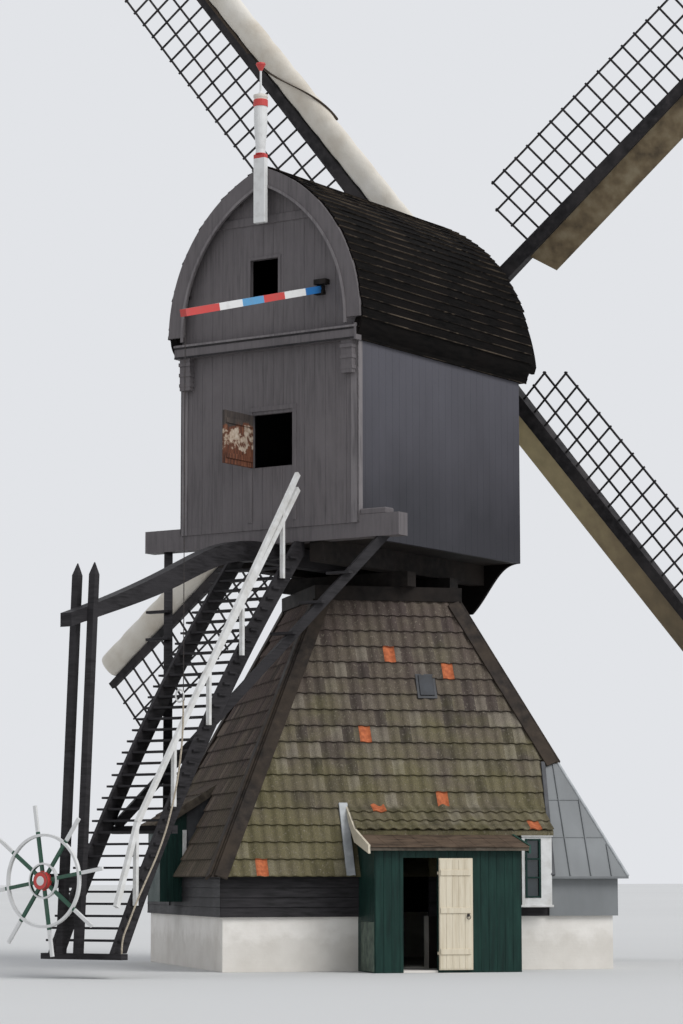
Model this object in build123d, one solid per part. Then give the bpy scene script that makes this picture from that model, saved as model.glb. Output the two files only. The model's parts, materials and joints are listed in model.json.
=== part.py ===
from build123d import *
import os
from math import atan, atan2, cos, hypot, radians, sin, sqrt, tan

# A Dutch hollow post mill: a square tiled tower with two green porches, and on it a
# timber upper house that turns to the wind with its tail, stairs, windshaft and sails.
# Millimetres. The origin is on the ground on the tower's axis. -Y is the face with the
# big porch, -X the face with the small one, +Z is up.
# The upper house is drawn square to the axes with its tail towards -Y and its sails
# towards +Y, and is then turned by HOUSE_TURN about Z.

# Driving sizes: tower
EAVE_HALF = 3900.0          # half the tower's width over the tiles at the eaves
EAVE_Z = 1700.0             # underside of the tiles
TOWER_TOP_Z = 6975.0        # top of the tiled slopes
TOWER_TOP_HALF = 1385.0     # half the tower's width at the top of the slopes
SLOPE_THICK = 110.0         # tiles, battens and boards together
BAND_SETBACK = 170.0        # the black boards under the eaves stand so far inside them
BAND_HALF = EAVE_HALF - BAND_SETBACK
BAND_THICK = 90.0
PLINTH_SETBACK = 40.0       # and the masonry so far inside the boards
PLINTH_HALF = BAND_HALF - PLINTH_SETBACK
PLINTH_Z = 980.0            # top of the masonry
PLINTH_THICK = 330.0
PAST = 1.0                  # how far a cutting block reaches past the faces that it cuts
JOINT = 0.4                 # open joint between walls that are built separately
FLOOR_THICK = 60.0
HIP_BOARD_WIDTH = 230.0
HIP_BOARD_THICK = 45.0
COLLAR_HALF = 1460.0
COLLAR_HEIGHT = 270.0
COLLAR_HOLE = 700.0
POST_OUTER = 560.0
POST_BORE = 300.0
POST_TOP_Z = 8900.0
POST_BOTTOM_Z = 5900.0
POST_FLANGE = 160.0         # height of the square foot that sits in the collar

# Driving sizes: big porch
PORCH_X0 = -1165.0
PORCH_X1 = 1540.0
PORCH_OUT = 990.0           # how far its front stands out from the tower's eaves
PORCH_FRONT = EAVE_HALF + PORCH_OUT
PORCH_WALL = 60.0
PORCH_SIDE_OUT = 120.0      # how far the roof stands past each side wall
PORCH_EAVE_OUT = 140.0      # and past the front wall
PORCH_EAVE_Z = 2230.0       # top of the boarded roof at its front edge
PORCH_PITCH = 11.5          # the boarded roof's slope, degrees
PORCH_BOARDS = 40.0
FLARE_TOP_Z = 3020.0        # where the flared tiles over it leave the tower's slope
FLARE_OUT = 90.0            # how far their lower edge stands past the tower's eaves
FLARE_Y = -EAVE_HALF - FLARE_OUT
FLARE_RISE = 93.2           # their lower edge's top over the boarded roof
FLARE_THICK = 70.0
FLARE_PAST_WINDOW = 25.0    # they run on over the window, and so far past it
VERGE_THICK = 40.0
VERGE_HEIGHT = 150.0
VERGE_RISE = 30.0           # how far a verge stands above the roof beside it

# Driving sizes: doorway and folded door
DOOR_X0 = -650.0
DOOR_WIDTH = 640.0
DOOR_HEIGHT = 1980.0
DOOR_THICK = 45.0
DOOR_GAP = 8.0              # running clearance of the leaf in its doorway
PORCH_FLOOR = 40.0
HINGE_OUT = 16.0            # the hinge pins stand so far in front of the wall
HINGE_PIN = 7.0
HINGE_GAP = 0.05            # running clearance of the loops on the pins
HINGE_LOOP = 13.0
HINGE_HEIGHT = 50.0
HINGE_LOW_Z = 320.0
HINGE_HIGH_Z = 1740.0
STRAP_LENGTH = 360.0
STRAP_THICK = 5.0
BRACKET_WIDTH = 32.0
BRACKET_HEIGHT = 26.0
SEAT_PLAY = 0.3             # between a hinge loop and the bracket that carries it
INNER_DOOR_X0 = -750.0
INNER_DOOR_WIDTH = 900.0
INNER_DOOR_TOP = 2050.0

# Driving sizes: small porch
SMALL_PORCH_Y = 650.0       # its middle, so far back from the tower's axis
SMALL_PORCH_HALF = 650.0
SMALL_PORCH_DEPTH = 260.0   # how far its front stands out from the tower's eaves
SMALL_PORCH_FRONT = EAVE_HALF + SMALL_PORCH_DEPTH
SMALL_PORCH_WALL = 50.0
SMALL_PORCH_SILL_Z = 1230.0
SMALL_PORCH_EAVE_Z = 2740.0
SMALL_PORCH_RIDGE_Z = 3440.0
SMALL_PORCH_ROOF = 90.0
SMALL_PORCH_OUT = 110.0     # how far its roof stands past the walls

# Driving sizes: window, zinc corner, roof light
WINDOW_X0 = 1860.0
WINDOW_X1 = 2435.0
WINDOW_Z0 = 1180.0
WINDOW_OUT = 50.0           # how far its face stands out from the eaves
WINDOW_DEPTH = 550.0
WINDOW_FRONT = EAVE_HALF + WINDOW_OUT
WINDOW_BACK = WINDOW_FRONT - WINDOW_DEPTH
PANE_X0 = 1950.0
PANE_X1 = 2195.0
PANE_Z0 = 1340.0
PANE_Z1 = 2360.0
GLASS_THICK = 12.0
ZINC_TOP_Z = 3820.0
ZINC_THICK = 30.0
ZINC_GAP = 5.0              # between the window and the zinc's inner edge at the eaves
ZINC_FOOT_X = WINDOW_X1 + ZINC_GAP
ZINC_HEAD_WIDTH = 310.0     # from the corner to the zinc's inner edge at its top
ZINC_BOX_OUT = 40.0         # the upright box stands so far out from the black boards
ZINC_DRIP = 40.0            # height of the ledge between the sloping sheet and the box
LIGHT_X = 520.0
LIGHT_Z = 5260.0
LIGHT_WIDTH = 380.0
LIGHT_HEIGHT = 520.0
LIGHT_FRAME = 50.0
LIGHT_THICK = 60.0

# Driving sizes: upper house
HOUSE_TURN = -47.2          # the house's turn from the tower's porch face, degrees
HOUSE_HALF = 2007.0
HOUSE_REAR = 3508.0
HOUSE_FRONT = 2431.0
HOUSE_Z0 = 7930.0
HOUSE_Z1 = 11607.0
WALL = 70.0
SEAT_GAP = 0.5              # between the tower's collar and the beams that turn on it
SADDLE_Y = 780.0            # centre of each cross beam over the collar
SADDLE_WIDTH = 300.0
SADDLE_HEIGHT = 284.5
BEAM_HALF = 1050.0          # centre of each long floor beam
BEAM_WIDTH = 320.0
BEAM_HEIGHT = 430.0
HOUSE_FLOOR = 60.0
POST_GAP = 20.0             # round the hollow post where the house turns about it
ARCH_HALF = 2200.0
ARCH_SPRING_Z = 12000.0
ARCH_TOP_Z = 15100.0
ROOF_THICK = 120.0
ROOF_REAR_OUT = 150.0
ROOF_FRONT_OUT = 160.0
ROOF_GAP = 1.0              # joint between the two roof halves along the ridge
EAVE_TIP_OUT = 33.0         # the roof's lowest edge stands so far past the side walls
EAVE_FOOT = 90.0            # height of the roof's upright inner face at the eaves
EAVE_BOW = 35.0             # how far the eaves' sweep bows in from the arch's spring
EAVE_DIP = 20.0             # and how far below half height the bow lies
HOOD_THICK = 60.0           # the arched shell that runs forward over the front wall
HOOD_FOOT_Z = 11870.0
HOOD_REACH_Y = 3050.0       # its front edge at the arch's spring
HOOD_RAKE = 0.2             # how far that edge leans back for each unit of height
REAR_DOOR_X0 = -360.0
REAR_DOOR_WIDTH = 920.0
REAR_DOOR_Z1 = 10370.0
REAR_LEAF_SPLIT_Z = 9370.0
REAR_LEAF_THICK = 45.0
LEAF_GAP = 5.0              # between the two leaves of the rear door
HATCH_X0 = -410.0
HATCH_WIDTH = 640.0
HATCH_Z0 = 12650.0
HATCH_Z1 = 13360.0
FASCIA_WIDTH = 330.0
FASCIA_THICK = 70.0
GABLE_BEAM_PAST = 73.0      # its ends stand so far past the side walls
GABLE_BEAM_Z0 = 11590.0
GABLE_BEAM_HEIGHT = 270.0
GABLE_BEAM_OUT = 40.0       # how far it stands past the roof's end
CORBEL_INSET = 147.0        # each corbel's middle is so far inside the wall's corner
CORBEL_WIDTH = 240.0
CORBEL_HEIGHT = 620.0
CORBEL_DEPTH = 150.0
CROSS_BEAM_PAST = 893.0     # its ends stand so far past the side walls
CROSS_BEAM_Z0 = 7900.0
CROSS_BEAM_HEIGHT = 420.0
CROSS_BEAM_DEPTH = 300.0
REAR_DOOR_Z0 = CROSS_BEAM_Z0 + CROSS_BEAM_HEIGHT    # the door stands on the cross beam
APRON_Z = 6960.0
APRON_HALF = 900.0
APRON_SHOULDER = (1500.0, 7680.0)
APRON_LEAN = (0.75, -0.66)  # the way the apron's edge runs at its foot
FINIAL_Z0 = 14000.0
FINIAL_PLANK_TOP_Z = 15350.0
FINIAL_PLANK_HALF = 150.0
FINIAL_PLANK_THICK = 110.0
FINIAL_TURNING = [          # radius and height over the plank
    (90, 0), (60, 70), (150, 350), (150, 600), (70, 900), (50, 1450), (170, 1610)]

# Driving sizes: tail, stairs and winding wheel
TAIL_WIDTH = 240.0
TAIL_DEPTH = 370.0
TAIL_TOP_Z = 7900.0
TAIL_FLAT_Y = -3900.0       # where the beam starts to curve down
TAIL_BEND = (-6500.0, 7230.0)
TAIL_END = (-9520.0, 6170.0)
TAIL_END_DEPTH = 240.0
TAIL_FALL = 0.3             # the beam's slope at its end
TAIL_INNER_Y = -630.0
TAIL_POST_SIDE = 130.0
TAIL_POST_DEPTH = 130.0
TAIL_POST_TOP = (-8990.0, 6860.0)
TAIL_POST_FOOT = (-9330.0, 420.0)
TAIL_POST_POINT = 210.0     # height of the pointed top of each post
TAIL_POST_TIP = 14.0        # and its width at the very tip
STRINGER_XS = (-600.0, 720.0)
STRINGER_THICK = 60.0
STRINGER_DEPTH = 350.0
STRINGER_SEAT = 30.0        # the stringers reach so far below the lowest tread
TREAD_HALF = 800.0
TREAD_THICK = 38.0
TREAD_DEPTH = 230.0
TREAD_NOSE = 20.0
TREAD_COUNT = 35
STAIR_TOP = (-3760.0, 7800.0)
STAIR_MID = (-6500.0, 4520.0)
STAIR_FOOT = (-9120.0, 450.0)
STAIR_HEAD_Y = -3400.0      # the stringers end under the cross beam
FOOT_BEAM = 180.0
FOOT_BEAM_HEIGHT = 100.0
FOOT_BEAM_X0 = -800.0
FOOT_BEAM_X1 = 930.0
RAIL_POINTS = [(-3750.0, 9140.0), (-8580.0, 2620.0), (-9140.0, 1200.0)]
RAIL_SIZE = 70.0
RAIL_DEPTH = 100.0
RAIL_DROP = 280.0           # from the upper handrail to the lower at their top
RAIL_MERGE_Y = -6900.0      # where the lower handrail runs into the upper
RAIL_POST_UNDER = 120.0     # the posts reach so far below the stairs' line
RAIL_POSTS = (-4250.0, -5530.0, -6530.0, -7550.0, -8610.0)
STRUT_SIZE = 165.0
STRUT_TOP = (2450.0, -3360.0, 7890.0)
STRUT_FOOT = (-560.0, -7360.0, 2590.0)
STRUT_TIE_HEIGHT = 140.0
WHEEL_X = -330.0
WHEEL_Z = 1640.0
WHEEL_Y = -9640.0
WHEEL_RADIUS = 790.0
WHEEL_RIM = 45.0
WHEEL_THICK = 60.0
WHEEL_HUB = 150.0
WHEEL_HUB_OUT = 60.0
WHEEL_INNER = 300.0
WHEEL_INNER_RIM = 30.0
HANDLE_RADIUS = 1280.0
SPOKE_SIZE = 60.0
SPOKE_THICK = 42.0
SPOKES = 8
SPOKE_START = 9.3
AXLE_RADIUS = 45.0
AXLE_LENGTH = 1000.0
AXLE_GAP = 0.05             # running clearance in the bearings
BEARING_THICK = 90.0
BEARING_REACH = 130.0       # past the axle's line
BEARING_HALF = 120.0
BEARING_NEAR_Y = -9366.0
BEARING_FAR_Y = -8650.0
BEARING_RAIL = 25.0
BRAKE_X = 1210.0
BRAKE_END = (-7850.0, 11490.0)
BRAKE_START = (-3500.0, 12640.0)
BRAKE_INSIDE = 700.0
BRAKE_SIZE = 130.0
BRAKE_SLOT = 15.0           # clear space over and beside the lever in the gable, which it rests on
LINE_RADIUS = 8.0           # the iron line that hangs from the lever
LINE_BACK = 60.0            # it hangs so far inside the lever's end
LINE_FOOT_Z = 4720.0
LINE_EYE_RADIUS = 24.0      # the socket at its foot, which holds the rope
LINE_EYE_HEIGHT = 80.0
ROPE_RADIUS = 16.0
ROPE_POINTS = [             # from the socket down to the beam at the foot of the stairs
    (1210.0, -7790.0, 4720.0), (1210.0, -7790.0, 4300.0), (1196.0, -7822.0, 3840.0), (1170.0, -7885.0, 3370.0),
    (1132.0, -7982.0, 2905.0), (1088.0, -8120.0, 2450.0), (1040.0, -8305.0, 2030.0), (988.0, -8520.0, 1650.0),
    (938.0, -8720.0, 1280.0), (896.0, -8890.0, 910.0), (870.0, -9030.0, 650.0), (870.0, -9030.0, 420.0)]

# Driving sizes: sails
SHAFT_TILT = 12.5           # how far the windshaft points up at the sails, degrees
HUB_Y = 3448.0
HUB_Z = 13290.0
SAIL_RADIUS = 12830.0
SAIL_REST = 35.3            # the first sail's angle above level at rest, degrees
SHAFT_RADIUS = 240.0
SHAFT_TAIL = 5600.0         # from the hub to the shaft's rear end
SHAFT_TAIL_Y = -1750.0
TAIL_BEARING = 360.0
NECK_HALF = 1500.0
NECK_DEPTH = 320.0
NECK_Z0 = 12460.0
NECK_Z1 = 13510.0
NECK_POST = 260.0
NECK_POST_X = 1200.0
LEDGE_Z0 = 11300.0
LEDGE_Z1 = 11560.0
POLL_SIZE = 620.0
POLL_LENGTH = 760.0
STOCK_ROOT = 320.0
STOCK_TIP = 150.0
STOCK_DEPTH_ROOT = 300.0
STOCK_DEPTH_TIP = 130.0
STOCK_PLAY = 5.0            # each stock lies so far off the middle of the hub
NECK_GAP = 30.0             # round the windshaft in the front wall
LATTICE_START = 2250.0
LATTICE_STEP = 361.0
LATTICE_WIDTH = 1335.0
LATTICE_BAR = 36.0
LATTICE_LATHS = 3
LATTICE_END = 60.0          # the outermost bar's distance from the stock's end
LATTICE_NIB = 40.0          # the bars' ends stand so far past the outer lath
WEATHER_TIP = 4.5           # the lattice's slant to the plane of the sails at its outer end, degrees
WEATHER_HEEL = 17.1         # and at its inner end
BOARD_WIDTH = 580.0
BOARD_THICK = 25.0
BOARD_START = 2100.0        # the leading board's inner end, at the stock
BOARD_START_OUT = 2300.0    # and at its free edge
BOARD_TILT = 18.0           # the leading boards lean forward, degrees
ROLL_HALF_WIDTH = 290.0     # half the width of the rolled sail cloth
ROLL_HALF_DEPTH = 170.0
ROLL_START = 2000.0
ROLL_END = 12630.0
CLOTH_PLAY = 0.3            # between the soft roll and the stock it lies against
SAIL_DRESS = ("boarded", "rolled", "rolled", "boarded")     # what each sail shows beside its stock


def box(x0, x1, y0, y1, z0, z1):
    """A block between two corners."""
    return Pos((x0 + x1) / 2, (y0 + y1) / 2, (z0 + z1) / 2) * Box(abs(x1 - x0), abs(y1 - y0), abs(z1 - z0))


def block(corners):
    """A solid with six flat faces: four bottom corners in a ring, then the four above them."""
    rings = [(0, 3, 2, 1), (4, 5, 6, 7), (0, 1, 5, 4), (1, 2, 6, 5), (2, 3, 7, 6), (3, 0, 4, 7)]
    faces = [Face(Wire.make_polygon([corners[i] for i in ring], close=True)) for ring in rings]
    return Solid(Shell(faces))


def slab(points, plane, thick):
    """A flat plate: an outline in a plane, made solid along the plane's normal."""
    return extrude(plane * make_face(Polyline(*points, close=True)), amount=thick)


def bar(start, end, width, depth, up=(0, 0, 1)):
    """A straight bar between two points, with its depth towards up."""
    a = Vector(*start)
    b = Vector(*end)
    along = (b - a).normalized()
    side = Vector(*up).cross(along).normalized()
    plane = Plane(origin=a, x_dir=side, z_dir=along)
    return extrude(plane * Rectangle(width, depth), amount=(b - a).length)


def rod(start, end, radius):
    a = Vector(*start)
    b = Vector(*end)
    return extrude(Plane(origin=a, z_dir=(b - a).normalized()) * Circle(radius), amount=(b - a).length)


def turned(solids, angle):
    return [Rot(0, 0, angle) * s for s in solids]


def write(name, solids):
    """One STEP file for a sub-part of one or more solids."""
    shape = solids[0] if len(solids) == 1 else Compound(children=list(solids))
    export_step(shape, f"parts/{name}.step")


SLOPE_RUN = (EAVE_HALF - TOWER_TOP_HALF) / (TOWER_TOP_Z - EAVE_Z)
SLOPE_INSET = SLOPE_THICK * sqrt(1 + SLOPE_RUN ** 2)


def slope_half(z):
    """Half the tower's width over the tiles at a height."""
    return EAVE_HALF - (z - EAVE_Z) * SLOPE_RUN


def tower_slopes():
    outer0, outer1 = slope_half(EAVE_Z), slope_half(TOWER_TOP_Z)
    inner0, inner1 = outer0 - SLOPE_INSET, outer1 - SLOPE_INSET
    front = block([
        (-outer0, -outer0, EAVE_Z), (outer0, -outer0, EAVE_Z),
        (inner0, -inner0, EAVE_Z), (-inner0, -inner0, EAVE_Z),
        (-outer1, -outer1, TOWER_TOP_Z), (outer1, -outer1, TOWER_TOP_Z),
        (inner1, -inner1, TOWER_TOP_Z), (-inner1, -inner1, TOWER_TOP_Z)])
    return [Rot(0, 0, a) * front for a in (0, 90, 180, 270)]


def tower_bulk():
    """The tower's whole outer bulk, which trims what is built against it."""
    h0, h1 = slope_half(EAVE_Z), slope_half(TOWER_TOP_Z)
    square = [(-1, -1), (1, -1), (1, 1), (-1, 1)]
    low = [(h0 * x, h0 * y, EAVE_Z) for x, y in square]
    high = [(h1 * x, h1 * y, TOWER_TOP_Z) for x, y in square]
    hood = block(low + high)
    foot = box(-PLINTH_HALF, PLINTH_HALF, -PLINTH_HALF, PLINTH_HALF, 0, PLINTH_Z)
    band = box(-BAND_HALF, BAND_HALF, -BAND_HALF, BAND_HALF, PLINTH_Z, EAVE_Z)
    return hood + band + foot


def window_hole():
    return box(WINDOW_X0, WINDOW_X1, -WINDOW_FRONT, -WINDOW_BACK, WINDOW_Z0, flare_under(-WINDOW_FRONT))


def light_plane():
    """On the front slope: x to the right, y up the slope, z out of it."""
    lean = atan(SLOPE_RUN)
    middle = (LIGHT_X, -slope_half(LIGHT_Z), LIGHT_Z)
    return Plane(origin=middle, x_dir=(1, 0, 0), z_dir=(0, -cos(lean), sin(lean)))


def light_hole():
    outline = Rectangle(LIGHT_WIDTH - 2 * LIGHT_FRAME, LIGHT_HEIGHT - 2 * LIGHT_FRAME)
    return extrude(light_plane() * outline, amount=SLOPE_INSET, both=True)


def ring_walls(half, thick, z0, z1):
    """Four straight walls round the tower, the front one parted by the inner doorway."""
    inner = half - thick
    side = inner - JOINT
    door1 = INNER_DOOR_X0 + INNER_DOOR_WIDTH
    return [
        box(-half, -inner, -side, side, z0, z1), box(inner, half, -side, side, z0, z1),
        box(-half, half, inner, half, z0, z1),
        box(-half, INNER_DOOR_X0, -half, -inner, z0, z1), box(door1, half, -half, -inner, z0, z1)]


def hip_boards():
    """Two boards at each hip, meeting on the corner line; the zinc takes their place low on one."""
    result = []
    for quarter in range(4):
        z0 = ZINC_TOP_Z if quarter == 0 else EAVE_Z
        a0, a1 = slope_half(z0), slope_half(TOWER_TOP_Z)
        b0, b1 = a0 + HIP_BOARD_THICK, a1 + HIP_BOARD_THICK
        w = HIP_BOARD_WIDTH
        front = [(a0, -a0, z0), (a0 - w, -a0, z0), (b0 - w, -b0, z0), (b0, -b0, z0),
                 (a1, -a1, TOWER_TOP_Z), (a1 - w, -a1, TOWER_TOP_Z),
                 (b1 - w, -b1, TOWER_TOP_Z), (b1, -b1, TOWER_TOP_Z)]
        pair = block(front) + block(mirrored_ring(front))
        result.append((Rot(0, 0, 90 * quarter) * pair).solid())
    return result


def mirrored_ring(ring):
    """The same eight corners mirrored in the vertical plane through the front right hip."""
    swapped = [(-y, -x, z) for x, y, z in ring]
    return [swapped[i] for i in (0, 3, 2, 1, 4, 7, 6, 5)]


def tower():
    parts = {}
    inside = PLINTH_HALF - PLINTH_THICK
    parts["ground_floor"] = [box(-inside, inside, -inside, inside, 0, FLOOR_THICK)]
    parts["plinth"] = ring_walls(PLINTH_HALF, PLINTH_THICK, 0, PLINTH_Z)
    band = ring_walls(BAND_HALF, BAND_THICK, PLINTH_Z, EAVE_Z)
    parts["board_band"] = [wall.cut(window_hole()).solid() for wall in band]
    door1 = INNER_DOOR_X0 + INNER_DOOR_WIDTH
    doorway = box(INNER_DOOR_X0, door1, -EAVE_HALF - PAST, 0, EAVE_Z - PAST, INNER_DOOR_TOP)
    names = ("front", "right", "rear", "left")
    for name, panel in zip(names, tower_slopes()):
        if name == "front":
            panel = panel.cut(window_hole(), light_hole(), doorway).solid()
        parts[f"tile_slope_{name}"] = [panel]
    parts["hip_boards"] = hip_boards()
    z1 = TOWER_TOP_Z + COLLAR_HEIGHT
    hole = COLLAR_HOLE
    parts["tower_collar"] = [box(-COLLAR_HALF, COLLAR_HALF, -COLLAR_HALF, COLLAR_HALF, TOWER_TOP_Z, z1)
                             - box(-hole / 2, hole / 2, -hole / 2, hole / 2, TOWER_TOP_Z - PAST, z1 + PAST)]
    post = Pos(0, 0, POST_BOTTOM_Z) * extrude(Circle(POST_OUTER / 2) - Circle(POST_BORE / 2),
                                              POST_TOP_Z - POST_BOTTOM_Z)
    flange = box(-hole / 2, hole / 2, -hole / 2, hole / 2, TOWER_TOP_Z, TOWER_TOP_Z + POST_FLANGE)
    flange -= Pos(0, 0, TOWER_TOP_Z - PAST) * extrude(Circle(POST_BORE / 2), POST_FLANGE + 2 * PAST)
    parts["hollow_post"] = [post + flange]
    return parts


PORCH_EAVE_Y = -PORCH_FRONT - PORCH_EAVE_OUT


def boards_top(y):
    """Height of the top of the porch's boarded roof."""
    return PORCH_EAVE_Z + (y - PORCH_EAVE_Y) * tan(radians(PORCH_PITCH))


FLARE_BACK_Y = -slope_half(FLARE_TOP_Z)
FLARE_LEAN = (FLARE_TOP_Z - boards_top(FLARE_Y) - FLARE_RISE) / (FLARE_BACK_Y - FLARE_Y)


def flare_top(y):
    """Height of the top of the flared tiles."""
    return FLARE_TOP_Z - (FLARE_BACK_Y - y) * FLARE_LEAN


def flare_under(y):
    return flare_top(y) - FLARE_THICK * sqrt(1 + FLARE_LEAN ** 2)


def flare():
    """The flared tiles over the porch and the window, before the tower trims them."""
    back = FLARE_BACK_Y
    tiles = [(FLARE_Y, flare_top(FLARE_Y)), (back, FLARE_TOP_Z),
             (back, flare_under(back)), (FLARE_Y, flare_under(FLARE_Y))]
    side0 = PORCH_X0 - PORCH_SIDE_OUT
    return slab(tiles, along(side0), WINDOW_X1 + FLARE_PAST_WINDOW - side0)


def porch():
    parts = {}
    bulk = tower_bulk()
    y0 = -PORCH_FRONT
    inner_y = y0 + PORCH_WALL
    x0, x1 = PORCH_X0, PORCH_X1
    door1 = DOOR_X0 + DOOR_WIDTH
    under = PORCH_BOARDS / cos(radians(PORCH_PITCH))
    head_z = PORCH_FLOOR + 2 * DOOR_GAP + DOOR_HEIGHT
    top = boards_top(y0) - under
    walls = [box(x0, DOOR_X0, y0, inner_y, 0, top), box(door1, x1, y0, inner_y, 0, top),
             box(DOOR_X0 + JOINT, door1 - JOINT, y0, inner_y, head_z, top)]
    back = FLARE_BACK_Y
    side = [(inner_y + JOINT, 0), (inner_y + JOINT, boards_top(inner_y) - under),
            (back, boards_top(back) - under), (back, 0)]
    for x in (x0, x1 - PORCH_WALL):
        walls.append(slab(side, along(x), PORCH_WALL).cut(bulk).solid())
    parts["porch_walls"] = walls
    floor = box(x0 + PORCH_WALL, x1 - PORCH_WALL, inner_y, -PLINTH_HALF, 0, PORCH_FLOOR)
    inner_door1 = INNER_DOOR_X0 + INNER_DOOR_WIDTH
    sill = box(INNER_DOOR_X0, inner_door1, -PLINTH_HALF, -PLINTH_HALF + PLINTH_THICK, 0, PORCH_FLOOR)
    sunk = box(DOOR_X0, door1, y0, inner_y, 0, PORCH_FLOOR)
    parts["porch_floor"] = [(floor + sill + sunk).solid()]
    side0, side1 = x0 - PORCH_SIDE_OUT, x1 + PORCH_SIDE_OUT
    boards = [(PORCH_EAVE_Y, PORCH_EAVE_Z), (back, boards_top(back)), (back, boards_top(back) - under),
              (PORCH_EAVE_Y, PORCH_EAVE_Z - under)]
    parts["porch_roof"] = [slab(boards, along(side0), side1 - side0).cut(bulk).solid()]
    parts["flared_tiles"] = [flare().cut(bulk).solid()]
    eave = PORCH_EAVE_Y
    rise, drop = VERGE_RISE, VERGE_RISE - VERGE_HEIGHT
    right = [(eave, PORCH_EAVE_Z + rise), (FLARE_Y, boards_top(FLARE_Y) + rise),
             (FLARE_Y, boards_top(FLARE_Y) + drop), (eave, PORCH_EAVE_Z + drop)]
    left = [(eave, PORCH_EAVE_Z + rise), (FLARE_Y, flare_top(FLARE_Y) + rise), (back, FLARE_TOP_Z + rise),
            (back, FLARE_TOP_Z + drop), (FLARE_Y, boards_top(FLARE_Y) + drop), (eave, PORCH_EAVE_Z + drop)]
    parts["porch_verges"] = [slab(left, along(side0 - VERGE_THICK), VERGE_THICK).cut(bulk).solid(),
                             slab(right, along(side1), VERGE_THICK)]
    return parts


HINGE_X = DOOR_X0 + DOOR_WIDTH
HINGE_Y = -PORCH_FRONT - HINGE_OUT


def porch_door():
    """The leaf folded right back against the porch on its two strap hinges."""
    y1 = HINGE_Y - HINGE_OUT
    z0 = PORCH_FLOOR + DOOR_GAP
    leaf = box(HINGE_X + DOOR_GAP, HINGE_X + DOOR_WIDTH - DOOR_GAP, y1 - DOOR_THICK, y1, z0, z0 + DOOR_HEIGHT)
    bores, brackets = [], []
    for z in (HINGE_LOW_Z, HINGE_HIGH_Z):
        leaf += rod((HINGE_X, HINGE_Y, z), (HINGE_X, HINGE_Y, z + HINGE_HEIGHT), HINGE_LOOP)
        leaf += box(HINGE_X, HINGE_X + STRAP_LENGTH, y1, y1 + STRAP_THICK, z, z + HINGE_HEIGHT)
        low, high = (HINGE_X, HINGE_Y, z - PAST), (HINGE_X, HINGE_Y, z + HINGE_HEIGHT + PAST)
        bores.append(rod(low, high, HINGE_PIN + HINGE_GAP))
        foot = z - SEAT_PLAY - BRACKET_HEIGHT
        arm = box(HINGE_X, HINGE_X + BRACKET_WIDTH, HINGE_Y - HINGE_PIN, -PORCH_FRONT, foot, z - SEAT_PLAY)
        knuckle = rod((HINGE_X, HINGE_Y, foot), (HINGE_X, HINGE_Y, z - SEAT_PLAY), HINGE_LOOP)
        pin = rod((HINGE_X, HINGE_Y, foot), (HINGE_X, HINGE_Y, z + HINGE_HEIGHT), HINGE_PIN)
        brackets.append((arm + knuckle + pin).solid())
    return {"porch_door": [leaf.cut(*bores).solid()]}, {"door_hinge_pins": brackets}


def small_porch():
    bulk = tower_bulk()
    x0 = -SMALL_PORCH_FRONT
    back = -slope_half(SMALL_PORCH_RIDGE_Z)
    w, half = SMALL_PORCH_WALL, SMALL_PORCH_HALF
    sill, eave, ridge = SMALL_PORCH_SILL_Z, SMALL_PORCH_EAVE_Z, SMALL_PORCH_RIDGE_Z
    lean = (ridge - eave) / (back - x0)
    under = SMALL_PORCH_ROOF * sqrt(1 + lean ** 2)
    out = SMALL_PORCH_OUT
    flank = [(x0 + w + JOINT, sill), (back, sill), (back, ridge - under), (x0 + w + JOINT, eave + (w + JOINT) * lean - under)]
    y0, y1 = SMALL_PORCH_Y - half, SMALL_PORCH_Y + half
    cheeks = [slab(flank, across(y), w).cut(bulk).solid() for y in (y1, y0 + w)]
    front = box(x0, x0 + w, y0, y1, sill, eave - under)
    floor = box(x0 + w + JOINT, -BAND_HALF, y0 + w + JOINT, y1 - w - JOINT, sill, sill + w)
    cover = [(x0 - out, eave - out * lean), (back, ridge), (back, ridge - under), (x0 - out, eave - out * lean - under)]
    roof = slab(cover, across(y1 + out), 2 * (half + out))
    return {"small_porch_walls": [front, *cheeks, floor.cut(bulk).solid()],
            "small_porch_roof": [roof.cut(bulk).solid()]}


def window():
    """A deep frame set through the boards and the tiles, the roof light, and their panes."""
    pane = box(PANE_X0, PANE_X1, -WINDOW_FRONT - PAST, -WINDOW_BACK + PAST, PANE_Z0, PANE_Z1)
    mid = -(WINDOW_FRONT + EAVE_HALF) / 2
    glass = box(PANE_X0, PANE_X1, mid, mid + GLASS_THICK, PANE_Z0, PANE_Z1)
    outline = Rectangle(LIGHT_WIDTH, LIGHT_HEIGHT) - Rectangle(LIGHT_WIDTH - 2 * LIGHT_FRAME, LIGHT_HEIGHT - 2 * LIGHT_FRAME)
    kerb = extrude(light_plane() * outline, amount=LIGHT_THICK)
    light_glass = light_hole() & extrude(light_plane() * Rectangle(LIGHT_WIDTH, LIGHT_HEIGHT), amount=GLASS_THICK)
    return {"window_frame": [window_hole() - pane], "roof_light": [kerb.solid()],
            "window_glass": [glass, light_glass.solid()]}


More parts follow.
